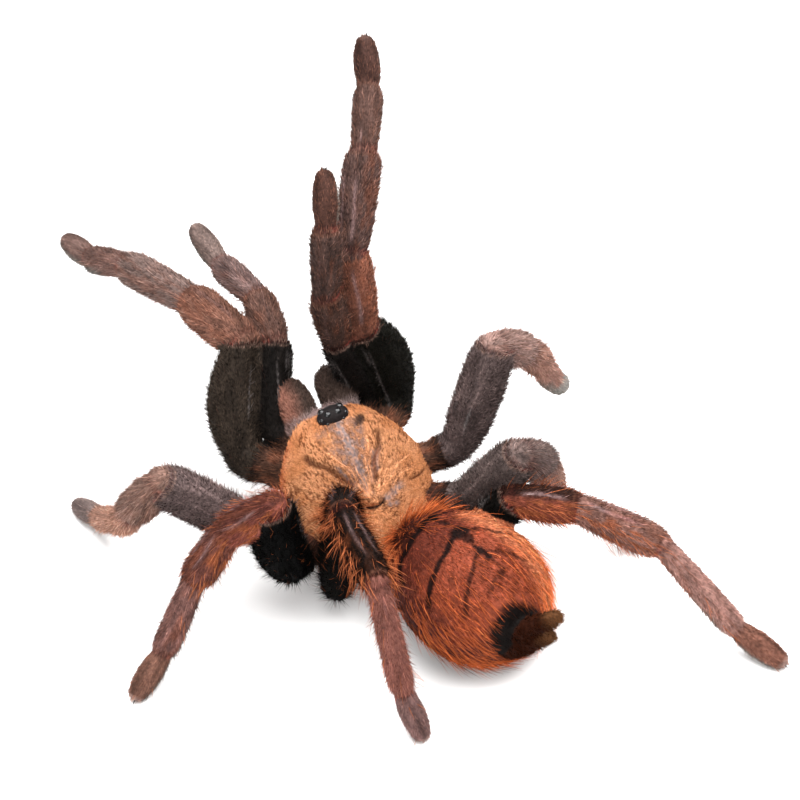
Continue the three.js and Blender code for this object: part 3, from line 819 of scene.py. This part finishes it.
# The skin itself, darker than the coat that stands on it: where the coat covers it, it is darkened as painted
# shade under the hair, and bare skin keeps its colour
skinCode, _, _, skinColour, skinBare = paint(skinPoints)
shadeUnderCoat = np.where(skinBare[:, None] > 0.5, 1, 0.62)
skin = makePiece("skin", skinPoints, skinTris, skinColour * shadeUnderCoat, skinMaterial)
fleshNodes = [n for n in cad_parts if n.startswith(("palp", "leg", "coxae", "chelicera", "spinneret"))]
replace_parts(skin, "abdomen", "sternum", *fleshNodes)
print("skin painted")

# Carapace: an egg-shaped plate with a raised head, a pit behind the middle and grooves that run out from it
carapace = {"inset": 0.2, "around": 260, "rings": 100, "pit": (-4.1, -0.65), "lean": 0.05, "pitDepth": 0.9,
            "grooveDepth": 0.3, "ridgeHeight": 0.07, "hollow": 0.3, "rim": 0.22,
            "under": [(0.985, -0.55), (0.9, -1.05), (0.6, -1.15), (0.001, -1.15)]}
plateColour = {"hair": (0.58, 0.235, 0.098), "light": (0.68, 0.305, 0.142), "fleck": (0.13, 0.042, 0.018),
               "ridge": (0.50, 0.21, 0.095), "grey": (0.105, 0.075, 0.072), "mauve": (0.30, 0.17, 0.13),
               "gold": (0.42, 0.165, 0.05), "edge": (0.42, 0.075, 0.025), "pit": (0.02, 0.01, 0.008),
               "front": (0.25, 0.19, 0.19), "spot": (0.02, 0.015, 0.016)}
# Pale bare ridges that fan from the pit: heading (left positive), how far it bends, from, to, half breadth
plateRidges = [(12, 7, 0.8, 9.8, 0.26), (17, 6, 2.5, 7.5, 0.16), (-11.5, -6.5, 0.8, 10, 0.28),
               (-17, -4, 3, 8, 0.16), (-34, -2, 1.2, 9, 0.24), (-42, -3, 2.5, 8.5, 0.17),
               (-51, -4, 1.6, 9.5, 0.24), (-61, -4, 3.5, 8.5, 0.16), (3, 1, 0.6, 6, 0.13),
               (-4, -1, 0.6, 5, 0.13), (33, 4, 3.5, 8, 0.15), (45, 5, 3, 8.5, 0.16), (60, 6, 3, 8, 0.15),
               (-86, 0, 4.5, 9, 0.15), (150, 0, 0.8, 4, 0.12), (172, 0, 0.8, 4.5, 0.12),
               (-166, 0, 0.8, 4.2, 0.12), (-145, 0, 0.9, 4.5, 0.14), (-120, 0, 1.2, 5, 0.14)]
# Dark grooves and grey bare patches in the same measure
plateDark = [(26.5, 5, 3.5, 11.5, 0.42), (-24, -4, 3.2, 11, 0.4), (76, 6, 5, 9, 0.2), (-74, 0, 6, 9.5, 0.18)]
plateGrey = [(0, 0, 1.2, 13, 0.62), (21, 3, 2.8, 7.5, 0.34), (-20.5, -3, 3, 8, 0.42),
             (-72, -4, 1.2, 5.6, 0.52), (-97, -4, 1.6, 3.8, 0.42), (-26, -2, 4.5, 8.5, 0.3)]


def plateFan(u, v):
    # heading in degrees and distance of each point as seen from the pit
    du, dv = u - carapace["pit"][0], v + carapace["lean"] * (9 - u)
    return np.degrees(np.arctan2(dv, du)), np.hypot(du, dv)


def fanLine(heading, away, line):
    middle, bend, start, end, breadth = line
    off = heading - middle - bend * smoothstep(5, 9, away)
    off = np.radians((off + 180) % 360 - 180) * away + 0.12 * np.sin(1.7 * away + middle)
    return bell(off / breadth) * smoothstep(start - 0.4, start + 0.6, away) * fade(end - 1.2, end, away)


def pitShape(u, v, breadth):
    # a short dark cleft whose ends bend forward
    side = v - carapace["pit"][1] + 0.2
    return bell((u - carapace["pit"][0] - 0.22 * side ** 2) / breadth) * fade(1.1, 1.55, np.abs(side))


def platePoint(reach, angle):
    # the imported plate's own form, in from it by the coat's depth; reach is 0 in the middle and 1 at the rim
    inset = carapace["inset"]
    x, y = reach * np.cos(angle), reach * np.sin(angle)
    ahead = np.maximum(0, np.cos(angle))
    u = (prosoma["length"] / 2 - inset) * np.sign(x) * np.abs(x) ** (1 - 0.25 * ahead)
    forward = smoothstep(-1, prosoma["length"] / 2, u)
    breadth = prosoma["breadth"] / 2 + (0.72 * prosoma["front"] - prosoma["breadth"] / 2) * forward - inset
    v = y * breadth
    falloff = np.maximum(0, 1 - reach ** (2.2 + 2.6 * ahead)) ** 0.75
    ridge = prosoma["ridge"] * bell(v / 4.6) * smoothstep(-3, 4, u)
    return u, v, (prosoma["height"] + ridge - inset) * falloff, falloff


def carapaceShape():
    rings, around = carapace["rings"], carapace["around"]
    share = np.linspace(0.001, 1, rings) ** 0.9
    share, angles = [a.ravel() for a in np.meshgrid(share, turns(around), indexing="ij")]
    u, v, w, falloff = platePoint(share, angles)
    heading, away = plateFan(u, v)
    for lines, height in ((plateDark, -carapace["grooveDepth"]), (plateRidges, carapace["ridgeHeight"])):
        for line in lines:
            w = w + height * fanLine(heading, away, line)
    w = w - carapace["pitDepth"] * pitShape(u, v, 0.3)
    w = w - carapace["hollow"] * bell(v / 0.8) * fade(-9.5, -6, u) * falloff
    w = w + carapace["rim"] * smoothstep(0.9, 0.97, share) * fade(0.985, 1, share)
    rim = np.stack([u, v], 1)[-around:]
    under = [np.column_stack([rim * scale, np.full(around, drop)]) for scale, drop in carapace["under"]]
    points = np.concatenate([np.stack([u, v, w], 1)] + under)
    return points, trisOf(latheFaces(rings + len(under), around))


def blot(x, y, power):
    # a soft-edged round mark, 1 in its middle
    return np.exp(-np.hypot(x, y) ** power)


def platePaint(local):
    # colour and bareness on the carapace, from places in its own frame
    u, v = local[:, 0], local[:, 1]
    heading, away = plateFan(u, v)
    stipple = smoothstep(0.42, 0.6, noise(local, 0.32, 37))
    colour = mix(evenly(plateColour["hair"], len(u)), plateColour["light"],
                 smoothstep(0.3, 0.7, noise(local, 1.8, 33)))
    fanned = np.stack([np.radians(heading) * away / 0.13, away / 0.28, u * 0], 1)
    flecks = smoothstep(0.5, 0.62, noise(fanned, 1.0, 31))
    flecks *= 0.4 + 0.6 * smoothstep(0.3, 0.55, noise(local, 1.4, 34))
    colour = mix(colour, plateColour["fleck"], 0.85 * flecks)
    inner = fade(13, 19, np.abs(heading)) * smoothstep(2.5, 4.5, away) * fade(11, 12.5, away)
    colour = mix(colour, plateColour["mauve"], inner * (0.35 + 0.6 * stipple))
    bare = np.zeros(len(u))
    for line in plateGrey:
        grey = fanLine(heading, away, line) * (0.6 + 0.4 * stipple)
        colour = mix(colour, plateColour["grey"], 0.9 * np.minimum(1, 1.3 * grey))
        bare = np.maximum(bare, grey)
    for line in plateRidges:
        ridge = fanLine(heading, away, (*line[:4], 0.6 * line[4])) * (0.55 + 0.45 * stipple)
        colour = mix(colour, plateColour["ridge"], ridge)
        bare = np.maximum(bare, 0.7 * ridge)
    ragged = 1 + 0.5 * (noise(local, 0.8, 41) - 0.5)
    gold = blot((u - 6.0) / 1.1 * ragged, (v - 1.8) / 0.95 * ragged, 3)
    gold = np.minimum(1, gold + 0.8 * blot((u - 6.5) / 0.8 * ragged, (v + 1.5) / 0.6 * ragged, 3))
    colour = mix(colour, plateColour["gold"], 0.6 * gold)
    bare = np.maximum(bare, 0.4 * gold)
    for line in plateDark:
        colour = mix(colour, plateColour["fleck"], 0.85 * fanLine(heading, away, line))
    spots = blot((u - 7.0 + 0.5 * (v + 3)) / 0.7, (v + 3.0) / 0.95, 4)
    spots = spots + 0.7 * blot((u - 8.6) / 0.6, (v + 3.0) / 0.45, 4) * stipple
    spots = spots + 0.4 * blot((u - 7.4) / 0.5, (v - 0.4) / 1.2, 4)
    colour = mix(colour, plateColour["spot"], 0.9 * np.minimum(1, spots))
    # painted light: brighter towards the front; painted shade on the right side behind the middle
    paintedLightAndShade = 1 + 0.1 * smoothstep(4, 8, u) - 0.06 * smoothstep(-1.5, -5, v) * smoothstep(-6, -2, u)
    colour *= paintedLightAndShade[:, None]
    pit = pitShape(u, v, 0.2)
    colour = mix(colour, plateColour["pit"], pit)
    rim = smoothstep(0.84, 0.98, np.hypot(u / (prosoma["length"] / 2), v / (prosoma["breadth"] / 2)))
    rim = rim * fade(6, 9, u) * smoothstep(-2, 1, v + 2 - 0.6 * u)
    colour = mix(colour, plateColour["edge"], 0.75 * rim)
    colour = mix(colour, plateColour["front"], smoothstep(9.35, 9.8, u - 0.1 * np.abs(v)) * 0.9)
    return colour, np.minimum(1, np.maximum(bare, pit))


plateLocal, plateTris = carapaceShape()
platePoints = prosomaCentre + plateLocal @ prosomaAxes
plateShade, plateBare = platePaint(plateLocal)
# where hair covers the plate it is darkened as painted shade under the hair; bare places keep their colour
plateShadedUnderCoat = mix(plateShade * 0.65, plateShade, smoothstep(0.2, 0.6, plateBare))
plate = makePiece("carapace_plate", platePoints, plateTris, plateShadedUnderCoat, plateMaterial)
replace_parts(plate, "carapace")
print("carapace made")

# Eyes: eight on a low mound; each place is ahead, aside, up and radius, and stands for a pair
eyes = {"mound": (8.75, 0, 3.85), "moundSize": (1.45, 2.15, 1.05),
        "places": [(8.95, 0.66, 4.3, 0.66), (9.55, 1.2, 3.95, 0.58), (8.6, 1.55, 4.06, 0.5),
                   (7.95, 1.05, 4.15, 0.42)],
        "moundColour": (0.006, 0.004, 0.004), "eyeColour": (0.003, 0.003, 0.003)}


def makeEyes():
    mound, balls = Shape(), Shape()
    addBall(mound, fromProsoma(*eyes["mound"]), eyes["moundSize"], prosomaAxes, 48, 28)
    for u, v, w, radius in eyes["places"]:
        for sign in sidesOf.values():
            addBall(balls, fromProsoma(u, sign * v, w), radius, prosomaAxes, 24, 16)
    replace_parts(pieceOf("eye_mound", mound, eyes["moundColour"], moundMaterial), "eye_turret")
    pieceOf("eyes", balls, eyes["eyeColour"], eyeMaterial)


makeEyes()

# Fangs and claws: horn bent in a plane
fang = {"root": (15.6, 2.7, -6.3), "bend": 4.2, "rings": 30, "colour": (0.008, 0.005, 0.004),
        "profile": [(0, 0.72), (2, 0.6), (4, 0.4), (5.6, 0.2), (6.15, 0.03)]}
claw = {"length": 0.55, "breadth": 0.11, "taper": 0.85, "apart": 0.35, "from": 0.25, "rise": 0.25,
        "drop": 0.5, "lowest": 0.15, "rings": 8, "colour": (0.03, 0.02, 0.018)}


def addHorn(shape, spine, radii, around=16):
    heading = unit(np.gradient(spine, axis=0))
    across = unit(np.cross(heading[0], heading[-1] + 1e-3))
    angles = turns(around)
    upper = np.cross(across, heading)
    ring = np.cos(angles)[:, None] * across + np.sin(angles)[:, None] * upper[:, None]
    points = spine[:, None] + np.asarray(radii)[:, None, None] * ring
    shape.add(points.reshape(-1, 3), latheFaces(len(spine), around))


def makeFangs():
    for side, sign in sidesOf.items():
        shape = Shape()
        reach, radii = zip(*fang["profile"])
        s = np.linspace(0, reach[-1], fang["rings"])
        angle = s / fang["bend"]
        u = fang["root"][0] - fang["bend"] + fang["bend"] * np.cos(angle)
        w = fang["root"][2] - fang["bend"] * np.sin(angle)
        spine = np.array([fromProsoma(a, sign * fang["root"][1], b) for a, b in zip(u, w)])
        addHorn(shape, spine, np.interp(s, reach, radii))
        horn = pieceOf("fang_horn_" + side, shape, fang["colour"], hornMaterial)
        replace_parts(horn, "fang_" + side)


def makeClaws():
    shape = Shape()
    s = np.linspace(0, 1, claw["rings"])[:, None]
    for pieces in limbs.values():
        foot = pieces[-1]
        tip = foot["start"] + foot["along"] * (foot["length"] - claw["from"])
        for sign in sidesOf.values():
            spine = tip + sign * foot["across"] * claw["apart"] + foot["along"] * claw["length"] * s
            spine = spine + foot["upper"] * (claw["rise"] * s - claw["drop"] * s ** 2)
            spine[:, 2] = np.maximum(spine[:, 2], claw["lowest"])
            addHorn(shape, spine, claw["breadth"] * (1 - claw["taper"] * s[:, 0]), 8)
    pieceOf("claws", shape, claw["colour"], hornMaterial)


makeFangs()
makeClaws()
print("eyes, fangs and claws made")

# Coat: every hair tuft is a thin three-sided spike standing on the skin, straight or bent
tuft = {"sunk": 0.08, "taper": 0.7, "lowest": 0.01, "patch": 0.003}
density = 1.0


def scatter(points, tris, normals, weight, count):
    # seeded random places on a surface, more where the triangles weigh more
    area = areaOf(points, tris) * weight
    count = int(count * density)
    chosen = tris[rng.choice(len(tris), count, p=area / area.sum())]
    r1, r2 = np.sqrt(rng.random(count)), rng.random(count)
    w = np.stack([1 - r1, r1 * (1 - r2), r1 * r2], 1)[..., None]
    return (points[chosen] * w).sum(1), unit((normals[chosen] * w).sum(1))


def layFlat(lie, normal):
    return lie - normal * (lie * normal).sum(1)[:, None]


def tuftMesh(name, slot, roots, normals, lie, colour, uv, lift, length, breadth, bend=(0, 0),
             rootShadeTones=(0.45, 1.3)):
    # bend is how many times a tuft bends and how far it droops; the root and tip tones are its brightness
    # there, and the darker root is painted shade deep in the coat
    heading = unit(lie * np.cos(lift)[:, None] + normals * np.sin(lift)[:, None])
    across = unit(np.cross(heading, normals))
    upper = np.cross(across, heading)
    bends, droop = bend
    layers, shades, spots = [], [], []
    for s in np.linspace(0, 1, bends + 2):
        centre = roots - normals * tuft["sunk"] + heading * (length * s)[:, None]
        centre = centre + upper * (droop * length * s * s)[:, None]
        radius = breadth / 2 * (1 - s) ** tuft["taper"] + np.zeros(len(roots))
        for k in range(3 if s < 1 else 1):
            turn = 2 * math.pi * k / 3 + math.pi / 2
            out = across * (radius * math.cos(turn))[:, None] + upper * (radius * math.sin(turn))[:, None]
            layers.append(centre + out)
            shades.append(colour * (rootShadeTones[0] + (rootShadeTones[1] - rootShadeTones[0]) * s))
            spots.append(uv + [(k / 3 - 0.5 if s < 1 else 0) * tuft["patch"], (s - 0.5) * tuft["patch"]])
    each = len(layers)
    points = np.stack(layers, 1).reshape(-1, 3)
    points[:, 2] = np.maximum(points[:, 2], tuft["lowest"])
    faces = [[0, 2, 1]]
    for a in range(0, 3 * bends, 3):
        for k in range(3):
            b, c = a + k, a + (k + 1) % 3
            faces += [[b, c, c + 3], [b, c + 3, b + 3]]
    faces += [[3 * bends + k, 3 * bends + (k + 1) % 3, each - 1] for k in range(3)]
    tris = (np.arange(len(roots))[:, None, None] * each + np.array(faces)[None]).reshape(-1, 3)
    shade = np.clip(np.stack(shades, 1).reshape(-1, 3), 0, 1)
    makePiece(name, points, tris, shade, coatMaterial, np.stack(spots, 1).reshape(-1, 2))
    print(name, len(roots), "tufts,", len(tris), "triangles")


skinNormals = normalsOf(skinPoints, skinTris)
skinArea = areaOf(skinPoints, skinTris)
triCode = skinCode[skinTris[:, 0]]
pieceName = np.array([p["name"] for p in allPieces])
pieceAlong = np.array([p["along"] for p in allPieces])


def onSkin(weight, count):
    return scatter(skinPoints, skinTris, skinNormals, weight, count)


def codesOf(kind, sides=sidesOf):
    return [i for i, p in enumerate(allPieces) if p["kind"] == kind and p["side"] in sides]


def pieceWeight(codes, table):
    weight = np.zeros(len(skinTris))
    for i in codes:
        weight[triCode == i] = table[allPieces[i]["name"]]
    return weight


def limbUnwrap(kind, code, t, angle):
    # each limb piece has its own strip of the map: along it one way, round it the other
    strips = codesOf(kind)
    row = np.searchsorted(strips, code)
    return np.stack([0.01 + 0.98 * (angle / (2 * math.pi) + 0.5), (row + 0.04 + 0.92 * t) / len(strips)], 1)


# Coat of each limb piece: length, breadth and lift of its tufts, tufts per square millimetre, and how many
# times as long the few are that stand out of it
limbHair = {
    "coxa": {"length": 1.0, "breadth": 0.11, "lift": 28, "dense": 14, "fuzz": 1.5},
    "femur": {"length": 0.95, "breadth": 0.1, "lift": 34, "dense": 24, "fuzz": 1.9},
    "patella": {"length": 0.85, "breadth": 0.09, "lift": 22, "dense": 28, "fuzz": 1.9},
    "tibia": {"length": 0.85, "breadth": 0.09, "lift": 22, "dense": 28, "fuzz": 1.9},
    "metatarsus": {"length": 0.8, "breadth": 0.085, "lift": 22, "dense": 28, "fuzz": 1.5},
    "tarsus": {"length": 0.55, "breadth": 0.08, "lift": 26, "dense": 32, "fuzz": 1.1},
}
# How much tufts differ, the few that stand out, and the few that are paler and longer
limbSpread = {"stray": 0.14, "length": (0.55, 1.2), "lift": (0.4, 1.5), "tone": (-0.12, 0.4)}
fuzz = {"share": 0.18, "lift": 24, "breadth": 0.7}
paleTufts = {"share": 0.13, "length": 1.4, "brighter": 1.7}


def coatLimb(kind):
    codes = codesOf(kind)
    dense = {name: hair["dense"] for name, hair in limbHair.items()}
    total = sum(skinArea[triCode == i].sum() * dense[pieceName[i]] for i in codes)
    roots, normals = onSkin(pieceWeight(codes, dense), total)
    code, t, angle, colour, bare = paint(roots)
    keep = np.isin(code, codes) & (rng.random(len(roots)) > bare)
    roots, normals, code, t, angle, colour = keepOnly(keep, roots, normals, code, t, angle, colour)
    count = len(roots)
    lie = unit(layFlat(pieceAlong[code], normals) + rng.normal(0, limbSpread["stray"], roots.shape))
    length, breadth, lift, fuzzy = [np.array([limbHair[name][key] for name in pieceName])[code]
                                    for key in ("length", "breadth", "lift", "fuzz")]
    standing = rng.random(count) < fuzz["share"]
    length = length * (rng.uniform(*limbSpread["length"], count) * np.where(standing, fuzzy, 1))
    lift = np.radians(lift) * rng.uniform(*limbSpread["lift"], count)
    lift = lift + np.where(standing, math.radians(fuzz["lift"]), 0)
    colour = colour * np.exp(rng.normal(*limbSpread["tone"], (count, 1)))
    pale = (rng.random(count) < paleTufts["share"]) & (pieceName[code] != "femur")
    colour[pale] = colour[pale] * paleTufts["brighter"] + limbMarks["paleHair"]
    length = length * np.where(pale, paleTufts["length"], 1)
    breadth = breadth * np.where(standing, fuzz["breadth"], 1)
    slot = "rear_limb_hair" if kind in rearKinds else "limb_hair"
    uv = limbUnwrap(kind, code, t, angle)
    tuftMesh("coat_" + kind, slot, roots, normals, lie, colour, uv, lift, length, breadth)


for kind in limbKinds:
    coatLimb(kind)

# Long hairs that stand out of the limbs' coat: number on each side, lengths, lift and colour
setae = {
    "palp": {"count": 320, "length": (0.9, 2.0), "lift": (25, 60), "colour": (0.13, 0.065, 0.05)},
    "leg1": {"count": 480, "length": (0.9, 2.0), "lift": (25, 60), "colour": (0.14, 0.07, 0.052)},
    "leg2": {"count": 360, "length": (0.9, 1.8), "lift": (25, 55), "colour": (0.24, 0.13, 0.1)},
    "leg3": {"count": 620, "length": (1.0, 2.8), "lift": (18, 55), "colour": (0.46, 0.14, 0.055)},
    "leg4": {"count": 800, "length": (1.2, 4.4), "lift": (20, 60), "colour": (0.46, 0.13, 0.05)},
}
# Where they grow, their common shape, and how much darker and shorter they are on thigh and coxa
setaeShare = {"coxa": 0.7, "femur": 0.4, "patella": 1.6, "tibia": 1.2, "metatarsus": 0.12, "tarsus": 0.06}
setaeShape = {"breadth": 0.075, "bend": (3, -0.14), "rootShadeTones": (0.45, 1.1), "stray": 0.22, "tone": 0.35,
              "thighColour": 0.35, "thighLength": 0.7}


def longLimbHair(side):
    parts = []
    for kind, hair in setae.items():
        codes = codesOf(kind, (side,))
        amount = hair["count"] * limbLook[kind, side]["bristles"]
        roots, normals = onSkin(pieceWeight(codes, setaeShare), amount)
        code, t, angle = locate(roots)
        keep = np.isin(code, codes) & (rng.random(len(roots)) < 0.15 + smoothstep(0.5, 1.2, np.abs(angle)))
        roots, normals, code, t, angle = keepOnly(keep, roots, normals, code, t, angle)
        count = len(roots)
        lie = unit(layFlat(pieceAlong[code], normals) + rng.normal(0, setaeShape["stray"], roots.shape))
        thigh = np.isin(pieceName[code], ("femur", "coxa"))
        darker, shorter = [np.where(thigh, setaeShape[key], 1) for key in ("thighColour", "thighLength")]
        colour = evenly(hair["colour"], count) * darker[:, None]
        colour = colour * np.exp(rng.normal(0, setaeShape["tone"], (count, 1)))
        length = rng.uniform(*hair["length"], count) * shorter
        lift = np.radians(rng.uniform(*hair["lift"], count))
        parts.append((roots, normals, lie, colour, limbUnwrap(kind, code, t, angle), lift, length))
    tuftMesh("long_hair_" + side, "rear_limb_hair", *[np.concatenate(a) for a in zip(*parts)],
             setaeShape["breadth"], setaeShape["bend"], setaeShape["rootShadeTones"])


for side in sidesOf:
    longLimbHair(side)

# Coat of the carapace: it lies out from the pit, longer at the rim and standing up in front
plateHair = {"count": 36000, "length": (0.25, 0.48), "breadth": 0.085, "lift": (5, 22), "collarLift": 30,
             "stray": 0.12, "tone": (0.8, 1.25), "rootShadeTones": (0.75, 1.25), "mapSpan": 23.5}


def coatCarapace():
    normals = normalsOf(platePoints, plateTris)
    topSide = (plateLocal[plateTris].mean(1)[:, 2] > -0.3).astype(float)
    roots, normal = scatter(platePoints, plateTris, normals, topSide, plateHair["count"])
    local = inProsoma(roots)
    colour, bare = platePaint(local)
    keep = rng.random(len(roots)) > np.minimum(1, bare * 1.6)
    roots, normal, local, colour = keepOnly(keep, roots, normal, local, colour)
    count, flat = len(roots), local[:, :2]
    lie = unit(np.column_stack([flat - carapace["pit"], np.zeros(count)])) @ prosomaAxes
    lie = unit(layFlat(lie, normal) + rng.normal(0, plateHair["stray"], lie.shape))
    edge = smoothstep(0.9, 1, np.hypot(*(flat / (11, 9.7)).T))
    collar = smoothstep(9.3, 9.9, flat[:, 0] - 0.1 * np.abs(flat[:, 1]))
    length = rng.uniform(*plateHair["length"], count) * (1 + edge + 0.8 * collar)
    lift = rng.uniform(*plateHair["lift"], count) + rng.uniform(0, plateHair["collarLift"], count) * collar
    colour = colour * rng.uniform(*plateHair["tone"], (count, 1))
    tuftMesh("coat_carapace", "carapace", roots, normal, lie, colour, 0.5 + flat / plateHair["mapSpan"],
             np.radians(lift), length, plateHair["breadth"], rootShadeTones=plateHair["rootShadeTones"])


# Coat of the abdomen: short close hair, and long bright hair over its sides and rear
shortHair = {"count": 46000, "length": (0.5, 0.95), "lift": (5, 20), "breadth": 0.095, "bend": (0, 0),
             "tone": (-0.22, 0.5), "vividShare": 0.2, "vivid": (2.2, 1.9, 1.6)}
longHair = {"count": 4400, "length": (1.8, 4.6), "lift": (6, 24), "breadth": 0.075, "bend": (4, -0.22),
            "tone": (-0.05, 0.35), "colour": (0.64, 0.14, 0.04), "frontLift": 25}


def shortWeight(p):
    return 0.4 + smoothstep(-1.2, 0.4, p[:, 2]) + 1.6 * fade(0.3, 0.5, fromTail(p))


def longWeight(p):
    ends = 0.12 + smoothstep(0.3, -0.5, p[:, 0]) + 1.5 * smoothstep(0.6, 0.85, p[:, 0])
    return ends * (0.3 + smoothstep(0.95, 0.1, p[:, 2])) * (p[:, 0] > -0.9)


def shortColour(colour, roots):
    shade = colour * np.exp(rng.normal(*shortHair["tone"], (len(roots), 1)))
    shade[rng.random(len(roots)) < shortHair["vividShare"]] *= shortHair["vivid"]
    return shade


def longColour(colour, roots):
    low = smoothstep(-0.3, -0.65, inAbdomen(roots)[:, 2])
    share = rng.uniform(0.3, 1.0, len(roots)) * (1 - tailShare(roots)) * (1 - 0.85 * low)
    return mix(colour, longHair["colour"], share) * np.exp(rng.normal(*longHair["tone"], (len(roots), 1)))


def abdomenUnwrap(points):
    p = unit(inAbdomen(points))
    around = np.arctan2(p[:, 1], p[:, 2]) / (2 * math.pi) + 0.5
    return 0.01 + 0.98 * np.stack([around, np.arccos(np.clip(p[:, 0], -1, 1)) / math.pi], 1)


def coatAbdomen(name, hair, weightOf, colourOf):
    weight = (triCode == bodyCode["abdomen"]) * weightOf(inAbdomen(skinPoints[skinTris].mean(1)))
    roots, normal = onSkin(weight, hair["count"])
    lie = -np.tile(abdomenAxes[0], (len(roots), 1)) - np.array([0, 0, 0.25])
    lie = unit(unit(layFlat(lie, normal)) + rng.normal(0, 0.16, lie.shape))
    length = rng.uniform(*hair["length"], len(roots)) * (1 - 0.55 * tailShare(roots + lie * 2))
    colour, bare = abdomenPaint(roots + lie * (0.5 * np.minimum(length, 1.2))[:, None])
    keep = rng.random(len(roots)) > bare
    roots, normal, lie, length, colour = keepOnly(keep, roots, normal, lie, length, colour)
    colour = colourOf(colour, roots)
    lift = np.radians(rng.uniform(*hair["lift"], len(roots)))
    lift += math.radians(hair.get("frontLift", 0)) * smoothstep(0.6, 0.8, inAbdomen(roots)[:, 0])
    tuftMesh(name, "abdomen", roots, normal, lie, colour, abdomenUnwrap(roots), lift, length, hair["breadth"],
             hair["bend"])


coatCarapace()
coatAbdomen("coat_abdomen_short", shortHair, shortWeight, shortColour)
coatAbdomen("coat_abdomen_long", longHair, longWeight, longColour)

# Coat of jaws, spinnerets and under side
bodyHair = {"count": 15000, "length": (0.5, 1.0), "lift": (10, 40), "breadth": 0.13, "stray": 0.2,
            "tone": (0.7, 1.4), "mapSpan": 70}


def coatBody():
    roots, normal = onSkin((triCode > bodyCode["abdomen"]).astype(float), bodyHair["count"])
    code, _, _, colour, _ = paint(roots)
    count = len(roots)
    lie = np.tile(-prosomaAxes[0], (count, 1))
    lie[code == bodyCode["jaw"]] = prosomaAxes[0]
    lie[code == bodyCode["spinneret"]] = -abdomenAxes[0]
    lie = unit(layFlat(lie, normal) + rng.normal(0, bodyHair["stray"], lie.shape))
    length = rng.uniform(*bodyHair["length"], count)
    lift = np.radians(rng.uniform(*bodyHair["lift"], count))
    colour = colour * rng.uniform(*bodyHair["tone"], (count, 1))
    # upper and under side lie apart on the map
    uv = 0.5 + inProsoma(roots)[:, :2] / bodyHair["mapSpan"]
    uv[:, 0] = 0.45 * uv[:, 0] + np.where(normal @ prosomaAxes[2] < 0, 0, 0.5)
    tuftMesh("coat_body", "dark_velvet", roots, normal, lie, colour, uv, lift, length, bodyHair["breadth"])


coatBody()
